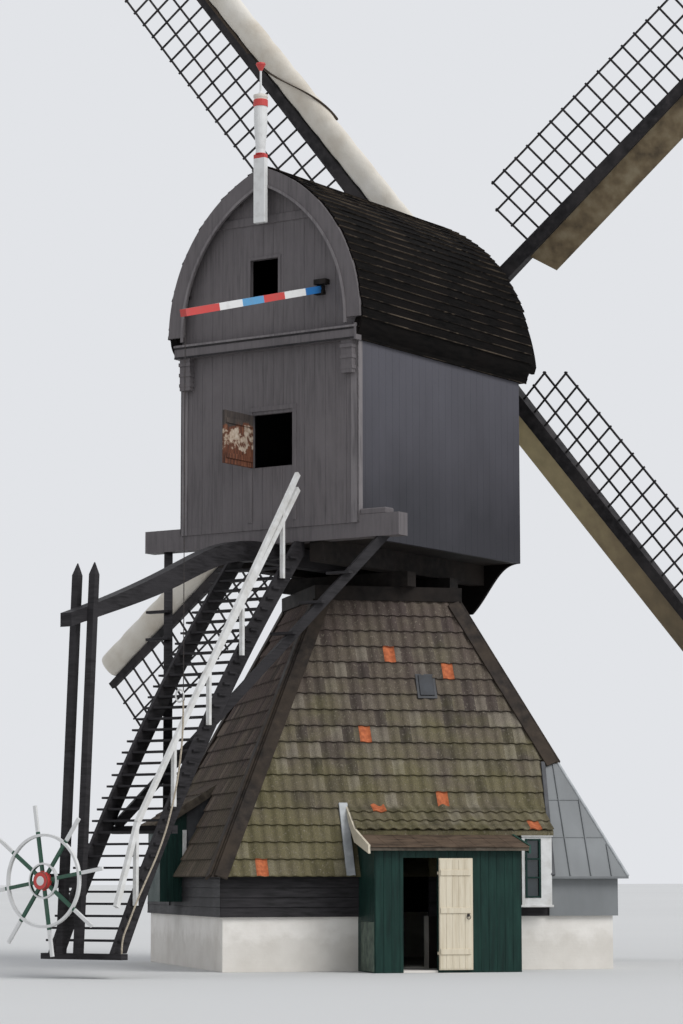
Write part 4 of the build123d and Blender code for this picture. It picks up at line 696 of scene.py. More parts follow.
NODE_FINISH = {
    "masonry": ["ground_floor", "plinth", "porch_floor"],
    "black_boards": ["board_band", "tail_beam", "tail_posts", "stair_stringers", "stair_treads",
                     "tail_struts", "stair_foot", "wheel_bearings"],
    "hip_wood": ["hip_boards"],
    "side_boards": ["house_side_walls"],
    "dark_boards": ["rear_wall_sides", "rear_wall_top", "lower_leaf", "gable_beam", "rear_fascia",
                    "cross_beam", "corbels"],
    "rusty_boards": ["upper_leaf"],
    "roof_boards": ["house_roof", "front_wall"],
    "front_tiles": ["tile_slope_front", "tile_slope_rear", "flared_tiles"],
    "side_tiles": ["tile_slope_right", "tile_slope_left", "small_porch_roof"],
    "green_boards": ["porch_walls", "small_porch_walls"],
    "cream_boards": ["porch_door"],
    "verge_paint": ["porch_verges"],
    "white_paint": ["window_frame", "stair_rail"],
    "finial_paint": ["finial"],
    "lever_paint": ["brake_pole"],
    "wheel_paint": ["winding_wheel"],
    "brown_boards": ["porch_roof"],
    "leading_paint": ["leading_boards"],
    "sail_wood": ["front_stock", "back_stock", "sail_lattice_1", "sail_lattice_2", "sail_lattice_3",
                  "sail_lattice_4"],
    "timber": ["tower_collar", "saddle_frame", "house_floor", "hollow_post", "shaft_beams"],
    "iron": ["door_hinge_pins", "windshaft", "brake_line"],
    "zinc": ["zinc_corner"],
    "lead": ["roof_light"],
    "glass": ["window_glass"],
    "sail_cloth": ["cloth_rolls"],
    "rope": ["brake_rope"],
}


class MILL_OT_carried_over(bpy.types.Operator):
    """Finishes on the frame's own pieces"""
    bl_idname = "mill.carried_over"
    bl_label = "Frame finishes"

    def execute(self, context):
        make_finishes()
        for finish, names in NODE_FINISH.items():
            for name in names:
                piece = frame["nodes"][name]
                if piece.material_slots:
                    piece.material_slots[0].material = FINISHES[finish]
                else:
                    piece.data.materials.append(FINISHES[finish])
        return {"FINISHED"}


# Tiles and the tower

def slope_frame(side):
    """A matrix onto one slope: x across it, y up it, z out of it."""
    return turned(QUARTERS[side]) @ at(0, -EAVE_HALF, EAVE_Z) @ tilted(math.radians(90) - SLOPE_LEAN)


def pantile(name, width, course):
    """One S-shaped tile with its lower end raised on the course below."""
    deselect()
    bpy.ops.mesh.primitive_grid_add(x_subdivisions=TILE_CURVES, y_subdivisions=1, size=1)
    tile = added(name)
    tile.scale = (width * TILE_COVER, course * TILE_LAP, 1)
    tile.location = (0, course * TILE_LAP / 2 - 0.01, 0)
    apply_place(tile)
    for step in range(TILE_CURVES + 1):
        share = step / TILE_CURVES
        x = (share - 0.5) * width * TILE_COVER
        height = 0.017 * math.sin(share * 2 * math.pi + 0.6)
        move_picked(tile, lambda co: abs(co.x - x) < 0.004, (0, 0, height))
    move_picked(tile, lambda co: co.y < 0.1, (0, 0, TILE_LIFT))
    return apply_modifier(tile, "SOLIDIFY", thickness=0.018, offset=1)


def tile_field(name, columns, rows, width, course):
    """Rows of tiles up from y 0, centred on x 0."""
    tile = place(pantile(name, width, course), at(-(columns - 1) / 2 * width, 0, 0))
    repeat(tile, columns, (width, 0, 0))
    return repeat(tile, rows, (0, course, 0))


def sloped_field(name, columns, rows, across, run, rise, where, finish):
    """A tile field on a small roof, up from the middle of its eave."""
    tiles = tile_field(name, columns, rows, across / columns, math.hypot(run, rise) / rows)
    place(tiles, where @ tilted(math.atan2(rise, run)))
    return settle(tiles, "tower", finish)


def slope_of_tiles(name, side):
    tiles = tile_field(name, int(2 * EAVE_HALF / TILE_WIDTH) + 1, TILE_ROWS, TILE_WIDTH, COURSE)
    place(tiles, slope_frame(side))
    turn = turned(QUARTERS[side])
    for way in (1, -1):
        slice_off(tiles, turn @ Vector((0, -HIP_WIDTH, 0)), turn @ Vector((way, 1, 0)))
    slice_off(tiles, (0, 0, TOWER_TOP_Z), (0, 0, 1))
    return tiles


def up_slope(z):
    """How far up a slope a height lies."""
    return (z - EAVE_Z) / math.cos(SLOPE_LEAN)


def slope_strip(name, x0, x1, z0, z1, out0, out1, lean=0.0):
    """A strip up a slope in the slope's own frame, its top moved sideways."""
    strip = block(name, (x0, up_slope(z0), out0), (x1, up_slope(z1), out1))
    move_picked(strip, lambda co: co.y > up_slope(z1) - 0.001, (lean, 0, 0))
    return soften(strip, 0.006)


class MILL_OT_roof_tiles(bpy.types.Operator):
    """Pantiles on the tower's four slopes, the flared skirt and the small porch"""
    bl_idname = "mill.roof_tiles"
    bl_label = "Roof tiles"

    def execute(self, context):
        zinc_top, low, high = ZINC_HIGH.z - 0.02, SMALL_ROOF_LOW, SMALL_ROOF_HIGH
        openings = {
            "front": [lambda c: FLARE_LOW.x - 0.02 < c.x < FLARE_HIGH.x and c.z < FLARE_HIGH.z - 0.03,
                      lambda c: c.x > ZINC_EDGE_X + ZINC_EDGE_LEAN * (c.z - EAVE_Z) and c.z < zinc_top,
                      lambda c: (LIGHT_LOW.x < c.x < LIGHT_HIGH.x
                                 and LIGHT_LOW.z < c.z < LIGHT_HIGH.z - 0.1)],
            "right": [lambda c: c.y < -ZINC_LOW.x - 0.05 and c.z < zinc_top],
            "rear": [],
            "left": [lambda c: low.y < c.y < high.y and c.z < high.z - 0.1]}
        for side, tests in openings.items():
            tiles = slope_of_tiles(f"tiles_{side}", side)
            for test in tests:
                delete_faces(tiles, test)
            settle(tiles, "tower", "front_tiles" if side in ("front", "rear") else "side_tiles")
            if side == "front":
                for x, z in NEW_TILES:
                    paint_faces(tiles, lambda c: (abs(c.x - x) < TILE_WIDTH / 2
                                                  and 0 <= c.z - z < COURSE * 0.9), "new_tile")
                self.hip_caps()
        flare = sloped_field(
            "tiles_flared", 17, 3, FLARE_HIGH.x - FLARE_LOW.x, FLARE_HIGH.y - FLARE_LOW.y, FLARE_RISE,
            at((FLARE_LOW.x + FLARE_HIGH.x) / 2, FLARE_LOW.y, FLARE_HIGH.z - FLARE_RISE), "front_tiles")
        for x, z in NEW_FLARED_TILES:
            paint_faces(flare, lambda c: abs(c.x - x) < 0.12 and abs(c.z - z) < 0.09, "new_tile")
        sloped_field("tiles_small_porch", 7, 4, high.y - low.y, SMALL_RUN, SMALL_RISE,
                     turned(270, (low.x, (low.y + high.y) / 2, SMALL_EAVE_Z)), "side_tiles")
        return {"FINISHED"}

    def hip_caps(self):
        """A board along both sides of each hip, over the tiles' cut ends."""
        reach = Vector((EAVE_HALF - TOWER_TOP_HALF, SLOPE_LENGTH, 0))
        for side in QUARTERS:
            boards = []
            for way in (1, -1):
                along = Vector((-way * reach.x, reach.y, 0)).normalized()
                inward = Vector((-way * along.y, way * along.x, 0))
                beside_zinc = (side, way) in (("front", 1), ("right", -1))
                start = up_slope(ZINC_HIGH.z) if beside_zinc else 0.01
                length = reach.length * (1 - start / reach.y) - 0.02
                board = soften(block("cap", (0, 0.004, 0.044), (length, HIP_WIDTH + 0.02, 0.088)), 0.005)
                turn = Matrix((along, inward, Vector((0, 0, 1)))).transposed().to_4x4()
                first = at(way * (EAVE_HALF - reach.x * start / reach.y), start, 0)
                boards.append(place(board, first @ turn))
            assemble(boards, f"hip_caps_{side}", slope_frame(side), "tower", "hip_wood")


def lapped_boards(name, x0, x1, z0, z1, courses):
    """Level boards facing -Y at y 0, each lower edge over the next."""
    step = (z1 - z0) / courses
    board = block(name, (x0, -0.026, z0), (x1, 0, z0 + step))
    move_picked(board, lambda co: co.z > z0 + step / 2 and co.y < -0.01, (0, 0.018, 0))
    return repeat(soften(board, 0.004), courses, (0, 0, step))


class MILL_OT_tower_boards(bpy.types.Operator):
    """Black lapped boards around the tower under its eaves"""
    bl_idname = "mill.tower_boards"
    bl_label = "Tower boards"

    def execute(self, context):
        low, high = BAND_LOW.z, BAND_HIGH.z - 0.02
        full = BAND_HIGH.x + 0.02
        spans = {"front": [(-full, PORCH_LOW.x), (PORCH_HIGH.x, WINDOW_LOW.x)],
                 "right": [(-ZINC_LOW.x, full)],
                 "rear": [(-full, full)],
                 "left": [(-full, -SMALL_HIGH.y), (-SMALL_LOW.y, full)]}
        for side, reaches in spans.items():
            parts = [lapped_boards("course", *reach, low, high, BAND_COURSES) for reach in reaches]
            if side == "left":
                sill = low + (high - low) / BAND_COURSES
                parts.append(lapped_boards("course", -SMALL_HIGH.y, -SMALL_LOW.y, low, sill, 1))
            assemble(parts, f"band_boards_{side}", turned(QUARTERS[side]) @ at(0, -BAND_HIGH.x, 0), "tower",
                     "black_boards")
        return {"FINISHED"}


def upright_boards(name, x0, x1, z0, z1, width, thick=BOARD):
    """A row of upright boards facing -Y at y 0, with open joints."""
    count = max(1, round((x1 - x0) / width))
    step = (x1 - x0) / count
    board = soften(block(name, (x0 + 0.0015, -thick, z0), (x0 + step - 0.0015, 0.004, z1)), 0.002)
    return repeat(board, count, (step, 0, 0))


def clad(name, node, width, where, x0, x1, z0, z1, body="tower", finish="green_boards"):
    """Upright boards on one face of a node, cut to its outline."""
    boards = place(upright_boards(name, x0, x1, z0, z1, width), where)
    cut_to(boards, node, where.to_3x3() @ Vector((0, -BOARD, 0)))
    return settle(boards, body, finish)


def strips(name, finish, boxes, where=Matrix(), edge=0.004, body="tower"):
    """Squared strips joined into one piece."""
    parts = [soften(block("strip", low, high), edge) for low, high in boxes]
    return assemble(parts, name, where, body, finish)


def house_strips(name, finish, boxes, where=HOUSE, edge=0.004):
    return strips(name, finish, boxes, where, edge, "upper_house")


class MILL_OT_porches(bpy.types.Operator):
    """Boards, door, roof and window of the porch, and the small porch at the side"""
    bl_idname = "mill.porches"
    bl_label = "Porches"

    def execute(self, context):
        low, high = PORCH_LOW, PORCH_HIGH
        for side, turn, x0, x1 in (("front", turned(0, (0, low.y, 0)), low.x, high.x),
                                   ("left", turned(-90, (low.x, 0, 0)), -high.y, -low.y),
                                   ("right", turned(90, (high.x, 0, 0)), low.y, high.y)):
            clad(f"porch_{side}_boards", "porch_walls", 0.15, turn, x0, x1, low.z, high.z)
        face, side = low.y - BOARD, low.x - BOARD
        strips("porch_panel", "panel_green",
               [((side - 0.012, face + 0.03, 0.02), (side + 0.004, PANEL_REAR_Y, PANEL_TOP_Z))])
        clad("porch_inner_boards", "plinth", 0.2, turned(0, (0, PLINTH_LOW.y, 0)), low.x + 0.08,
             high.x - 0.08, 0.04, PLINTH_HIGH.z, finish="timber")
        self.roof()
        self.door()
        self.window()
        self.small_porch()
        return {"FINISHED"}

    def roof(self):
        low, high = PORCH_ROOF_LOW, PORCH_ROOF_HIGH
        eave = high.z - (high.y - low.y) * math.tan(PORCH_PITCH)
        length = (high.y - low.y) / math.cos(PORCH_PITCH) - 0.03
        step = (high.x - low.x) / PORCH_ROOF_BOARDS
        boards = [((low.x + i * step + 0.001, -0.03 - 0.006 * (i % 3), -0.004),
                   (low.x + (i + 1) * step - 0.001, length, 0.016)) for i in range(PORCH_ROOF_BOARDS)]
        strips("porch_roof_boards", "brown_boards", boards, at(0, low.y, eave) @ tilted(PORCH_PITCH))
        strips("porch_eave_board", "board_edges",
               [((low.x, low.y - 0.012, eave - 0.07), (high.x, low.y + 0.004, eave - 0.01))])

    def door(self):
        low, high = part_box("porch_door")
        boards = upright_boards("door_boards", low.x + 0.03, high.x - 0.03, low.z + 0.02, high.z - 0.03,
                                0.11, DOOR_BOARD)
        settle(place(boards, at(0, low.y, 0)), "porch_door", "cream_boards")
        face = low.y - DOOR_BOARD
        strips("door_ledges", "cream_boards",
               [((low.x + 0.04, face - 0.02, z), (high.x - 0.04, face + 0.002, z + 0.1))
                for z in (0.32, 1.05, 1.72)], body="porch_door")
        ring = place(torus("door_ring", 0.035, 0.006, 20),
                     at(high.x - 0.09, face - 0.034, 0.98) @ tilted(math.radians(84)))
        plate = block("plate", (high.x - 0.11, face - 0.034, 0.99), (high.x - 0.07, face + 0.002, 1.04))
        settle(join([ring, soften(plate, 0.006)], "door_ring"), "porch_door", "iron")

    def window(self):
        low, high, face = WINDOW_LOW, WINDOW_HIGH, WINDOW_LOW.y
        strips("window_sill", "white_paint", [((low.x - 0.04, face - 0.05, low.z - 0.04),
                                               (high.x + 0.02, face + 0.03, low.z + 0.002))], edge=0.008)
        (x0, x1), (z0, z1) = PANE_X, PANE_Z
        bars = [((left, face - 0.014, z0 - 0.03), (right, face + 0.05, z1 + 0.03))
                for left, right in ((x0 - 0.03, x0 + 0.012), (x1 - 0.012, x1 + 0.03))]
        third = (z1 - z0) / 3
        for z in (z0 - 0.012, z0 + third, z0 + 2 * third, z1 + 0.012):
            bars.append(((x0, face - 0.012, z - 0.016), (x1, face + 0.05, z + 0.016)))
        strips("window_sash", "green_boards", bars)
        strips("window_head", "white_paint", [((low.x - 0.02, face - 0.035, high.z - 0.05),
                                               (high.x + 0.015, face + 0.03, high.z + 0.01))], edge=0.006)

    def small_porch(self):
        low, high, post = SMALL_LOW, SMALL_HIGH, SMALL_POST_X
        cheek = turned(0, (0, low.y, 0))
        for name, width, where, x0, x1, finish in (
                ("face", 0.13, turned(-90, (low.x, 0, 0)), -high.y, -low.y, "green_boards"),
                ("cheek", 0.13, cheek, low.x, post, "green_boards"),
                # Beyond the post the cheek is dark lead-grey boards: partly lead, partly painted shade
                # under the small porch roof
                ("lead", 0.22, cheek, post, high.x, "lead")):
            clad(f"small_porch_{name}", "small_porch_walls", width, where, x0, x1, low.z, high.z,
                 finish=finish)
        strips("small_porch_post", "white_paint", [((post - 0.08, low.y - 0.05, 1.9), (post, low.y, 2.6))],
               edge=0.008)
        length = math.hypot(SMALL_RUN, SMALL_RISE)
        slope = turned(270, (SMALL_ROOF_LOW.x, 0, SMALL_EAVE_Z)) @ tilted(math.atan2(SMALL_RISE, SMALL_RUN))
        strips("small_porch_verges", "board_edges",
               [((-y - 0.03, -0.02, -0.1), (-y + 0.03, length, 0.05))
                for y in (SMALL_ROOF_LOW.y, SMALL_ROOF_HIGH.y)], slope)


class MILL_OT_zinc_trim(bpy.types.Operator):
    """Seams and rolled edge of the zinc corner, and the lead strips beside the tiles"""
    bl_idname = "mill.zinc_trim"
    bl_label = "Zinc and lead"

    def execute(self, context):
        top = ZINC_HIGH.z
        for side, way in (("front", 1), ("right", -1)):
            seams = []
            for x in ZINC_SEAMS_X:
                reach = min(top, EAVE_Z + (EAVE_HALF - x - 0.02) / SLOPE_RUN)
                seams.append(slope_strip("seam", way * x - 0.011, way * x + 0.011, EAVE_Z, reach,
                                         0.028, 0.052))
            for z in ZINC_SEAMS_Z:
                edge = EAVE_HALF - SLOPE_RUN * (z - EAVE_Z)
                near, far = sorted((way * 2.52, way * edge))
                seams.append(slope_strip("seam", near, far, z, z + 0.02, 0.028, 0.040))
            assemble(seams, f"zinc_seams_{side}", slope_frame(side), "tower", "zinc")
        foot = EAVE_HALF + 0.02
        head = foot - SLOPE_RUN * (top - EAVE_Z)
        roll = round_bar("zinc_hip_roll", (foot, -foot, EAVE_Z + 0.01), (head, -head, top), 0.030)
        settle(roll, "tower", "zinc_edge")
        for name, finish, *sizes in (
                ("lead_beside_zinc", "lead", 2.42, 2.50, EAVE_Z, top, 0.028, 0.075, 0.14),
                ("lead_beside_porch", "zinc_edge", FLARE_LOW.x - 0.17, FLARE_LOW.x - 0.005, EAVE_Z,
                 FLARE_HIGH.z, 0.02, 0.080),
                ("roof_light_pane", "dim_glass", LIGHT_LOW.x + 0.05, LIGHT_HIGH.x - 0.05,
                 LIGHT_LOW.z + 0.05, LIGHT_HIGH.z - 0.05, 0.062, 0.078)):
            settle(place(slope_strip(name, *sizes), slope_frame("front")), "tower", finish)
        return {"FINISHED"}


# Upper house

def arch_point(angle, side, out=0.0):
    """A point on the roof's arch, so far up one side and so far outside it."""
    radius = ARCH_RADIUS + out
    across = side * (ARCH_HALF - ARCH_RADIUS + radius * math.cos(angle))
    return Vector((across, 0, ARCH_SPRING_Z + radius * math.sin(angle)))


class MILL_OT_house_boards(bpy.types.Operator):
    """Boards, corners and doors on the upper house's four walls"""
    bl_idname = "mill.house_boards"
    bl_label = "House boards"

    def execute(self, context):
        width = context.scene.mill_sizes.board_width
        rear = HOUSE @ at(0, HOUSE_REAR, 0)
        front = HOUSE @ turned(180) @ at(0, -HOUSE_FRONT, 0)
        for node, where, foot in (("rear_wall_sides", rear, HOUSE_Z0 - 0.01),
                                  ("rear_wall_top", rear, HOUSE_Z0 - 0.01), ("front_wall", front, APRON_Z)):
            clad(node + "_boards", node, width, where, -HOUSE_HALF, HOUSE_HALF, foot, ARCH_TOP_Z,
                 "upper_house", "dark_boards")
        for side, name in SIDES:
            reach = (HOUSE_REAR, HOUSE_FRONT) if side > 0 else (-HOUSE_FRONT, -HOUSE_REAR)
            boards = upright_boards(f"{name}_wall_boards", *reach, HOUSE_Z0, HOUSE_Z1 - 0.004, width)
            place(boards, HOUSE @ turned(90 * side) @ at(0, -HOUSE_HALF, 0))
            settle(boards, "upper_house", "side_boards")
        corners = []
        for side in (1, -1):
            x, y = side * HOUSE_HALF, HOUSE_REAR
            for inside, depth, top in ((0.13, 0, GABLE_BEAM_LOW), (0, 0.13, HOUSE_Z1 - 0.02)):
                near, far = sorted((x - side * inside, x + side * 0.03))
                corners.append(((near, y - 0.03, SKIRT_Z), (far, y + depth, top)))
        house_strips("house_corners", "trim_boards", corners)
        open_leaf = HOUSE @ turned(90, (REAR_DOOR[0], HOUSE_REAR - LEAF_WIDTH, 0))
        for name, finish, where, *sizes in (
                ("rear_skirt_boards", "dark_boards", rear, -HOUSE_HALF, HOUSE_HALF, SKIRT_Z,
                 BEAM_TOP_Z + 0.012, width, 0.020),
                ("lower_leaf_boards", "dark_boards", rear, *REAR_DOOR, BEAM_TOP_Z + 0.01,
                 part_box("lower_leaf")[1].z - 0.01, 0.23),
                ("upper_leaf_boards", "rusty_boards", open_leaf, 0, LEAF_WIDTH, *LEAF_Z, 0.23, DOOR_BOARD)):
            settle(place(upright_boards(name, *sizes), where), "upper_house", finish)
        ledges = [((0.03, -0.030, z), (LEAF_WIDTH - 0.03, -0.008, z + 0.10))
                  for z in (LEAF_Z[0] + 0.10, LEAF_Z[1] - 0.24)]
        house_strips("upper_leaf_ledges", "rusty_boards", ledges, open_leaf)
        (left, right), top = REAR_DOOR, LEAF_Z[1] + 0.06
        jambs = [((left - 0.09, -0.034, BEAM_TOP_Z), (left - 0.002, 0.01, top)),
                 ((right + 0.002, -0.034, BEAM_TOP_Z), (right + 0.09, 0.01, top)),
                 ((left - 0.09, -0.034, top), (right + 0.09, 0.01, top + 0.09))]
        house_strips("rear_door_frame", "dark_boards", jambs, rear)
        (left, right), (foot, top), trim = HATCH_X, HATCH_Z, HATCH_TRIM
        hatch = [((x, -0.03, foot), (x + trim, 0.01, top)) for x in (left, right - trim)]
        hatch += [((left + trim, -0.03, z), (right - trim, 0.01, z + trim)) for z in (foot, top - trim)]
        house_strips("hatch_frame", "dark_boards", hatch, rear)
        return {"FINISHED"}


class MILL_OT_house_roof(bpy.types.Operator):
    """Lapped boards along the arched roof, under a ridge cap"""
    bl_idname = "mill.house_roof"
    bl_label = "House roof"

    def execute(self, context):
        courses = context.scene.mill_sizes.roof_courses
        step = ARCH_SWEEP / courses
        width = ARCH_RADIUS * step
        inward, drop = ARCH_HALF - EAVE_TIP_HALF, ARCH_SPRING_Z - HOUSE_Z1
        lower = round(math.hypot(inward, drop) / width)
        for side, name in SIDES:
            boards = []
            for i in range(-lower, courses):
                angle = step * (i + 0.5)
                middle = arch_point(angle, side, 0.016)
                if i < 0:
                    share = -(i + 0.5) / lower
                    middle = Vector((side * (ARCH_HALF + 0.016 - share * inward), 0,
                                     ARCH_SPRING_Z - share * drop))
                    angle = -math.atan2(inward, drop)
                board = self.board(i, side, width)
                place(board, at(*middle) @ tilted(-side * (angle + ROOF_LEAN), "Y"))
                boards.append(board)
            assemble(boards, f"roof_boards_{name}", HOUSE, "upper_house", "roof_boards")
        self.ridge_cap()
        return {"FINISHED"}

    def board(self, number, side, width):
        """One uneven board along the roof, its worn lower edge in another finish."""
        end = 0.012 * ((number * 7 + side) % 4)
        board = block(f"strip_{number}", (-BOARD, ROOF_REAR_Y - end, -width * 0.57),
                      (BOARD, ROOF_FRONT_Y + end, width * 0.57))
        bisect(board, (0, 0, 0), (0, 0, 1))
        edit_all(board)
        bpy.ops.mesh.subdivide(number_cuts=7)
        in_mode("OBJECT")
        wobble(board, 0.006, number + 20 * side + 30)
        board.data.materials.append(FINISHES["roof_boards"])
        paint_faces(board, lambda c: c.z < -width * 0.53, "roof_edges")
        return board

    def ridge_cap(self):
        cap = []
        for side in (1, -1):
            board = soften(block("cap", (0, ROOF_REAR_Y, -0.012), (0.2, ROOF_FRONT_Y, 0.012)), 0.004)
            place(board, tilted(math.radians(RIDGE_PITCH), "Y"))
            if side < 0:
                place(board, turned(180, (0, ROOF_REAR_Y + ROOF_FRONT_Y, 0)))
            cap.append(place(board, at(0, 0, ARCH_TOP_Z + 0.035)))
        assemble(cap, "roof_ridge_cap", HOUSE, "upper_house", "roof_boards")


class MILL_OT_gable_trim(bpy.types.Operator):
    """Mouldings of the rear gable, its corbels and the struts' cleats"""
    bl_idname = "mill.gable_trim"
    bl_label = "Gable trim"

    def execute(self, context):
        low, high, face, wall = GABLE_BEAM_LOW, GABLE_BEAM_HIGH, GABLE_BEAM_Y, HOUSE_REAR
        house_strips("beam_moulding", "trim_boards",
                     [((-2.09, face - 0.022, high - 0.05), (2.09, face + 0.004, high - 0.012))])
        # Painted shadow: dark strips under the top moulding and along the beam's underside
        house_strips("beam_shadow", "tarred_wood",
                     [((-2.08, face - 0.010, high - 0.085), (2.08, face + 0.004, high - 0.05)),
                      ((-2.08, face - 0.012, low), (2.08, face + 0.004, low + 0.035))])
        house_strips("beam_end_cap", "dark_boards",
                     [((2.06, face - 0.018, low - 0.02), (2.105, face + 0.18, high + 0.02))])
        house_strips("collar_board", "dark_boards", [((-1.38, wall - 0.04, 14.04), (1.38, wall, 14.2))])
        mouldings = [self.arch_moulding(side, -0.345, 0.05) for side in (1, -1)]
        assemble(mouldings, "arch_moulding", HOUSE, "upper_house", "trim_boards")
        house_strips("brake_bracket", "timber", [((1.11, wall - 0.12, 12.52), (1.31, wall, 12.60)),
                                                 ((1.13, wall - 0.16, 12.70), (1.40, wall, 12.80))])
        house_strips("beam_step", "dark_boards",
                     [((2.04, wall + 0.01, BEAM_TOP_Z - 0.01), (2.62, -3.22, BEAM_TOP_Z + 0.11))],
                     edge=0.02)
        self.finial()
        self.cleats()
        house_strips("corbel_ledges", "dark_boards",
                     [((x - 0.135, wall - depth, z), (x + 0.135, wall, z + 0.07))
                      for x in (-CORBEL_X, CORBEL_X) for z, depth in CORBEL_LEDGES])
        return {"FINISHED"}

    def arch_moulding(self, side, out, width):
        """A strip spun along the roof's arch, from its spring to the top."""
        radius = ARCH_RADIUS + out
        centre = Vector((side * (ARCH_HALF - ARCH_RADIUS), 0, ARCH_SPRING_Z))
        near, far = sorted((centre.x + side * radius, centre.x + side * (radius + width)))
        strip = block("moulding", (near, ARCH_FACE_Y - 0.028, ARCH_SPRING_Z - 0.1),
                      (far, ARCH_FACE_Y, ARCH_SPRING_Z))
        sweep = math.acos((ARCH_RADIUS - ARCH_HALF) / (radius + width))
        on_picked(strip, "FACE", lambda c: c.z > ARCH_SPRING_Z - 0.01,
                  lambda: bpy.ops.mesh.spin(steps=28, angle=sweep, center=centre, axis=(0, side, 0)))
        return strip

    def finial(self):
        """The ridge's finial: a plank with a turned vase, a spike and a small cup on it."""
        plank = soften(block("plank", *FINIAL_PLANK), 0.008)
        vase = place(turning("vase", FINIAL_PROFILE), at(0, FINIAL_Y, 0))
        finial = assemble([plank, vase], "turned_finial", HOUSE, "upper_house", "finial_paint")
        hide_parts("finial")

    def cleats(self):
        """Short bars across the struts under the tail."""
        bars = []
        for side, shares in STRUT_CLEATS:
            top, foot = Vector((side * 2.45, -3.36, 7.89)), Vector((-side * 0.56, -7.36, 2.59))
            for share in shares:
                x, y, z = top.lerp(foot, share)
                bars.append(((x - 0.38, y - 0.20, z - 0.02), (x + 0.13, y - 0.06, z + 0.03)))
        house_strips("strut_cleats", "black_boards", bars)


# Sails and rope

def sail_axes(number):
    """How one sail lies at the hub: x out along its stock, y towards its lattice, z to the rear."""
    angle = math.radians(SAIL_REST + 90 * number)
    out = Vector((math.cos(angle), -math.sin(SHAFT_TILT) * math.sin(angle),
                  math.cos(SHAFT_TILT) * math.sin(angle)))
    rear = -Vector((0, math.cos(SHAFT_TILT), math.sin(SHAFT_TILT)))
    return Matrix((out, rear.cross(out), rear)).transposed().to_4x4()


def sail_place(number):
    offset = -STOCK_OFFSET if number % 2 == 0 else STOCK_OFFSET
    return HOUSE @ at(*HUB) @ sail_axes(number) @ at(0, 0, offset)


def roll_centre(reach):
    """How far beside its sail's middle a roll lies, so far out."""
    return -(STOCK_ROOT - (STOCK_ROOT - STOCK_TIP) * reach / SAIL_RADIUS) / 2 - ROLL_HALF_WIDTH


class MILL_OT_sail_cloths(bpy.types.Operator):
    """The two sail cloths rolled up beside their stocks, and the rope that ties the upper one"""
    bl_idname = "mill.sail_cloths"
    bl_label = "Sail cloths"

    def execute(self, context):
        for number, name in ((1, "upper_left"), (2, "lower_left")):
            roll = self.roll(f"cloth_roll_{name}", number)
            settle(roll, "sails", "sail_cloth")
            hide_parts("cloth_rolls")
        self.tie("cloth_tie", 1)
        return {"FINISHED"}

    def tie(self, name, number):
        """A dark rope wound half around a roll, from its stock to its outer edge."""
        wide, deep = ROLL_HALF_WIDTH + 0.02, ROLL_HALF_DEPTH + 0.02
        deselect()
        bpy.ops.mesh.primitive_circle_add(vertices=8, radius=0.034, location=(0, wide, 0))
        tie = apply_place(added(name))
        apply_modifier(tie, "SCREW", axis="X", angle=math.radians(TIE_TURN), steps=28, render_steps=28,
                       screw_offset=(TIE_END - TIE_START) * TIE_TURN / 180)
        place(tie, Matrix.Diagonal((1, 1, deep / wide, 1)))
        along = soften(block("along", (0, 0.29, 0.03), (2.0, 0.35, 0.10)), 0.012)
        middle = roll_centre((TIE_START + TIE_END) / 2)
        place(join([tie, along], name), sail_place(number) @ at(TIE_START, middle, 0))
        settle(tie, "sails", "dark_rope")

    def roll(self, name, number):
        """A cloth rolled up in bulges, made part by part along its sail."""
        length = (ROLL_END - ROLL_START) / ROLL_PARTS
        deselect()
        bpy.ops.mesh.primitive_cylinder_add(vertices=20, radius=1, depth=length, end_fill_type="NOTHING")
        roll = place(added(name), at(length / 2, 0, 0) @ tilted(math.radians(90), "Y"))
        edit_all(roll)
        for share in (0.12, 0.3, 0.5, 0.7, 0.88):
            bpy.ops.mesh.select_all(action="SELECT")
            bpy.ops.mesh.bisect(plane_co=(length * share, 0, 0), plane_no=(1, 0, 0))
        in_mode("OBJECT")
        for share, size in ((0.0, 0.93), (0.12, 0.97), (0.88, 0.98), (1.0, 0.93)):
            on_picked(roll, "VERT", lambda co: abs(co.x - share * length) < 0.01,
                      lambda: bpy.ops.transform.resize(value=(1, size, size)))
        repeat(roll, ROLL_PARTS, (length, 0, 0), use_merge_vertices=True, merge_threshold=0.01)
        for reach in (0.0, length * ROLL_PARTS):
            on_picked(roll, "VERT", lambda co: abs(co.x - reach) < 0.005, bpy.ops.mesh.edge_face_add)
        wobble(roll, 0.03, 11 + number)
        place(roll, Matrix.Diagonal((1, ROLL_HALF_WIDTH, ROLL_HALF_DEPTH, 1)))
        apply_modifier(roll, "SUBSURF", levels=1)
        activate(roll)
        bpy.ops.object.shade_smooth()
        start, end = roll_centre(ROLL_START), roll_centre(ROLL_END)
        lean = tilted(math.atan2(end - start, ROLL_END - ROLL_START), "Z")
        return place(roll, sail_place(number) @ at(ROLL_START, start, 0) @ lean)


class MILL_OT_rope(bpy.types.Operator):
    """The brake rope from its line down to the foot of the stairs"""
    bl_idname = "mill.rope"
    bl_label = "Brake rope"

    def execute(self, context):
        deselect()
        bpy.ops.curve.primitive_nurbs_path_add()
        rope = added("brake_cord")
        curve = rope.data
        curve.splines.remove(curve.splines[0])
        spline = curve.splines.new("NURBS")
        spline.points.add(len(ROPE_ROUTE) - 1)
        for point, spot in zip(spline.points, ROPE_ROUTE):
            point.co = (*(HOUSE @ Vector(spot)), 1)
        spline.order_u = 3
        spline.use_endpoint_u = True
        curve.bevel_depth = ROPE_RADIUS
        curve.bevel_resolution = 3
        curve.use_fill_caps = True
        settle(rope, "upper_house", "rope")
        loop = place(torus("line_loop", 0.085, 0.014, 24), Matrix.Diagonal((1, 1.25, 1, 1)))
        place(loop, HOUSE @ at(*LOOP_PLACE) @ tilted(math.radians(90)))
        settle(loop, "upper_house", "white_paint")
        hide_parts("brake_rope")
        return {"FINISHED"}


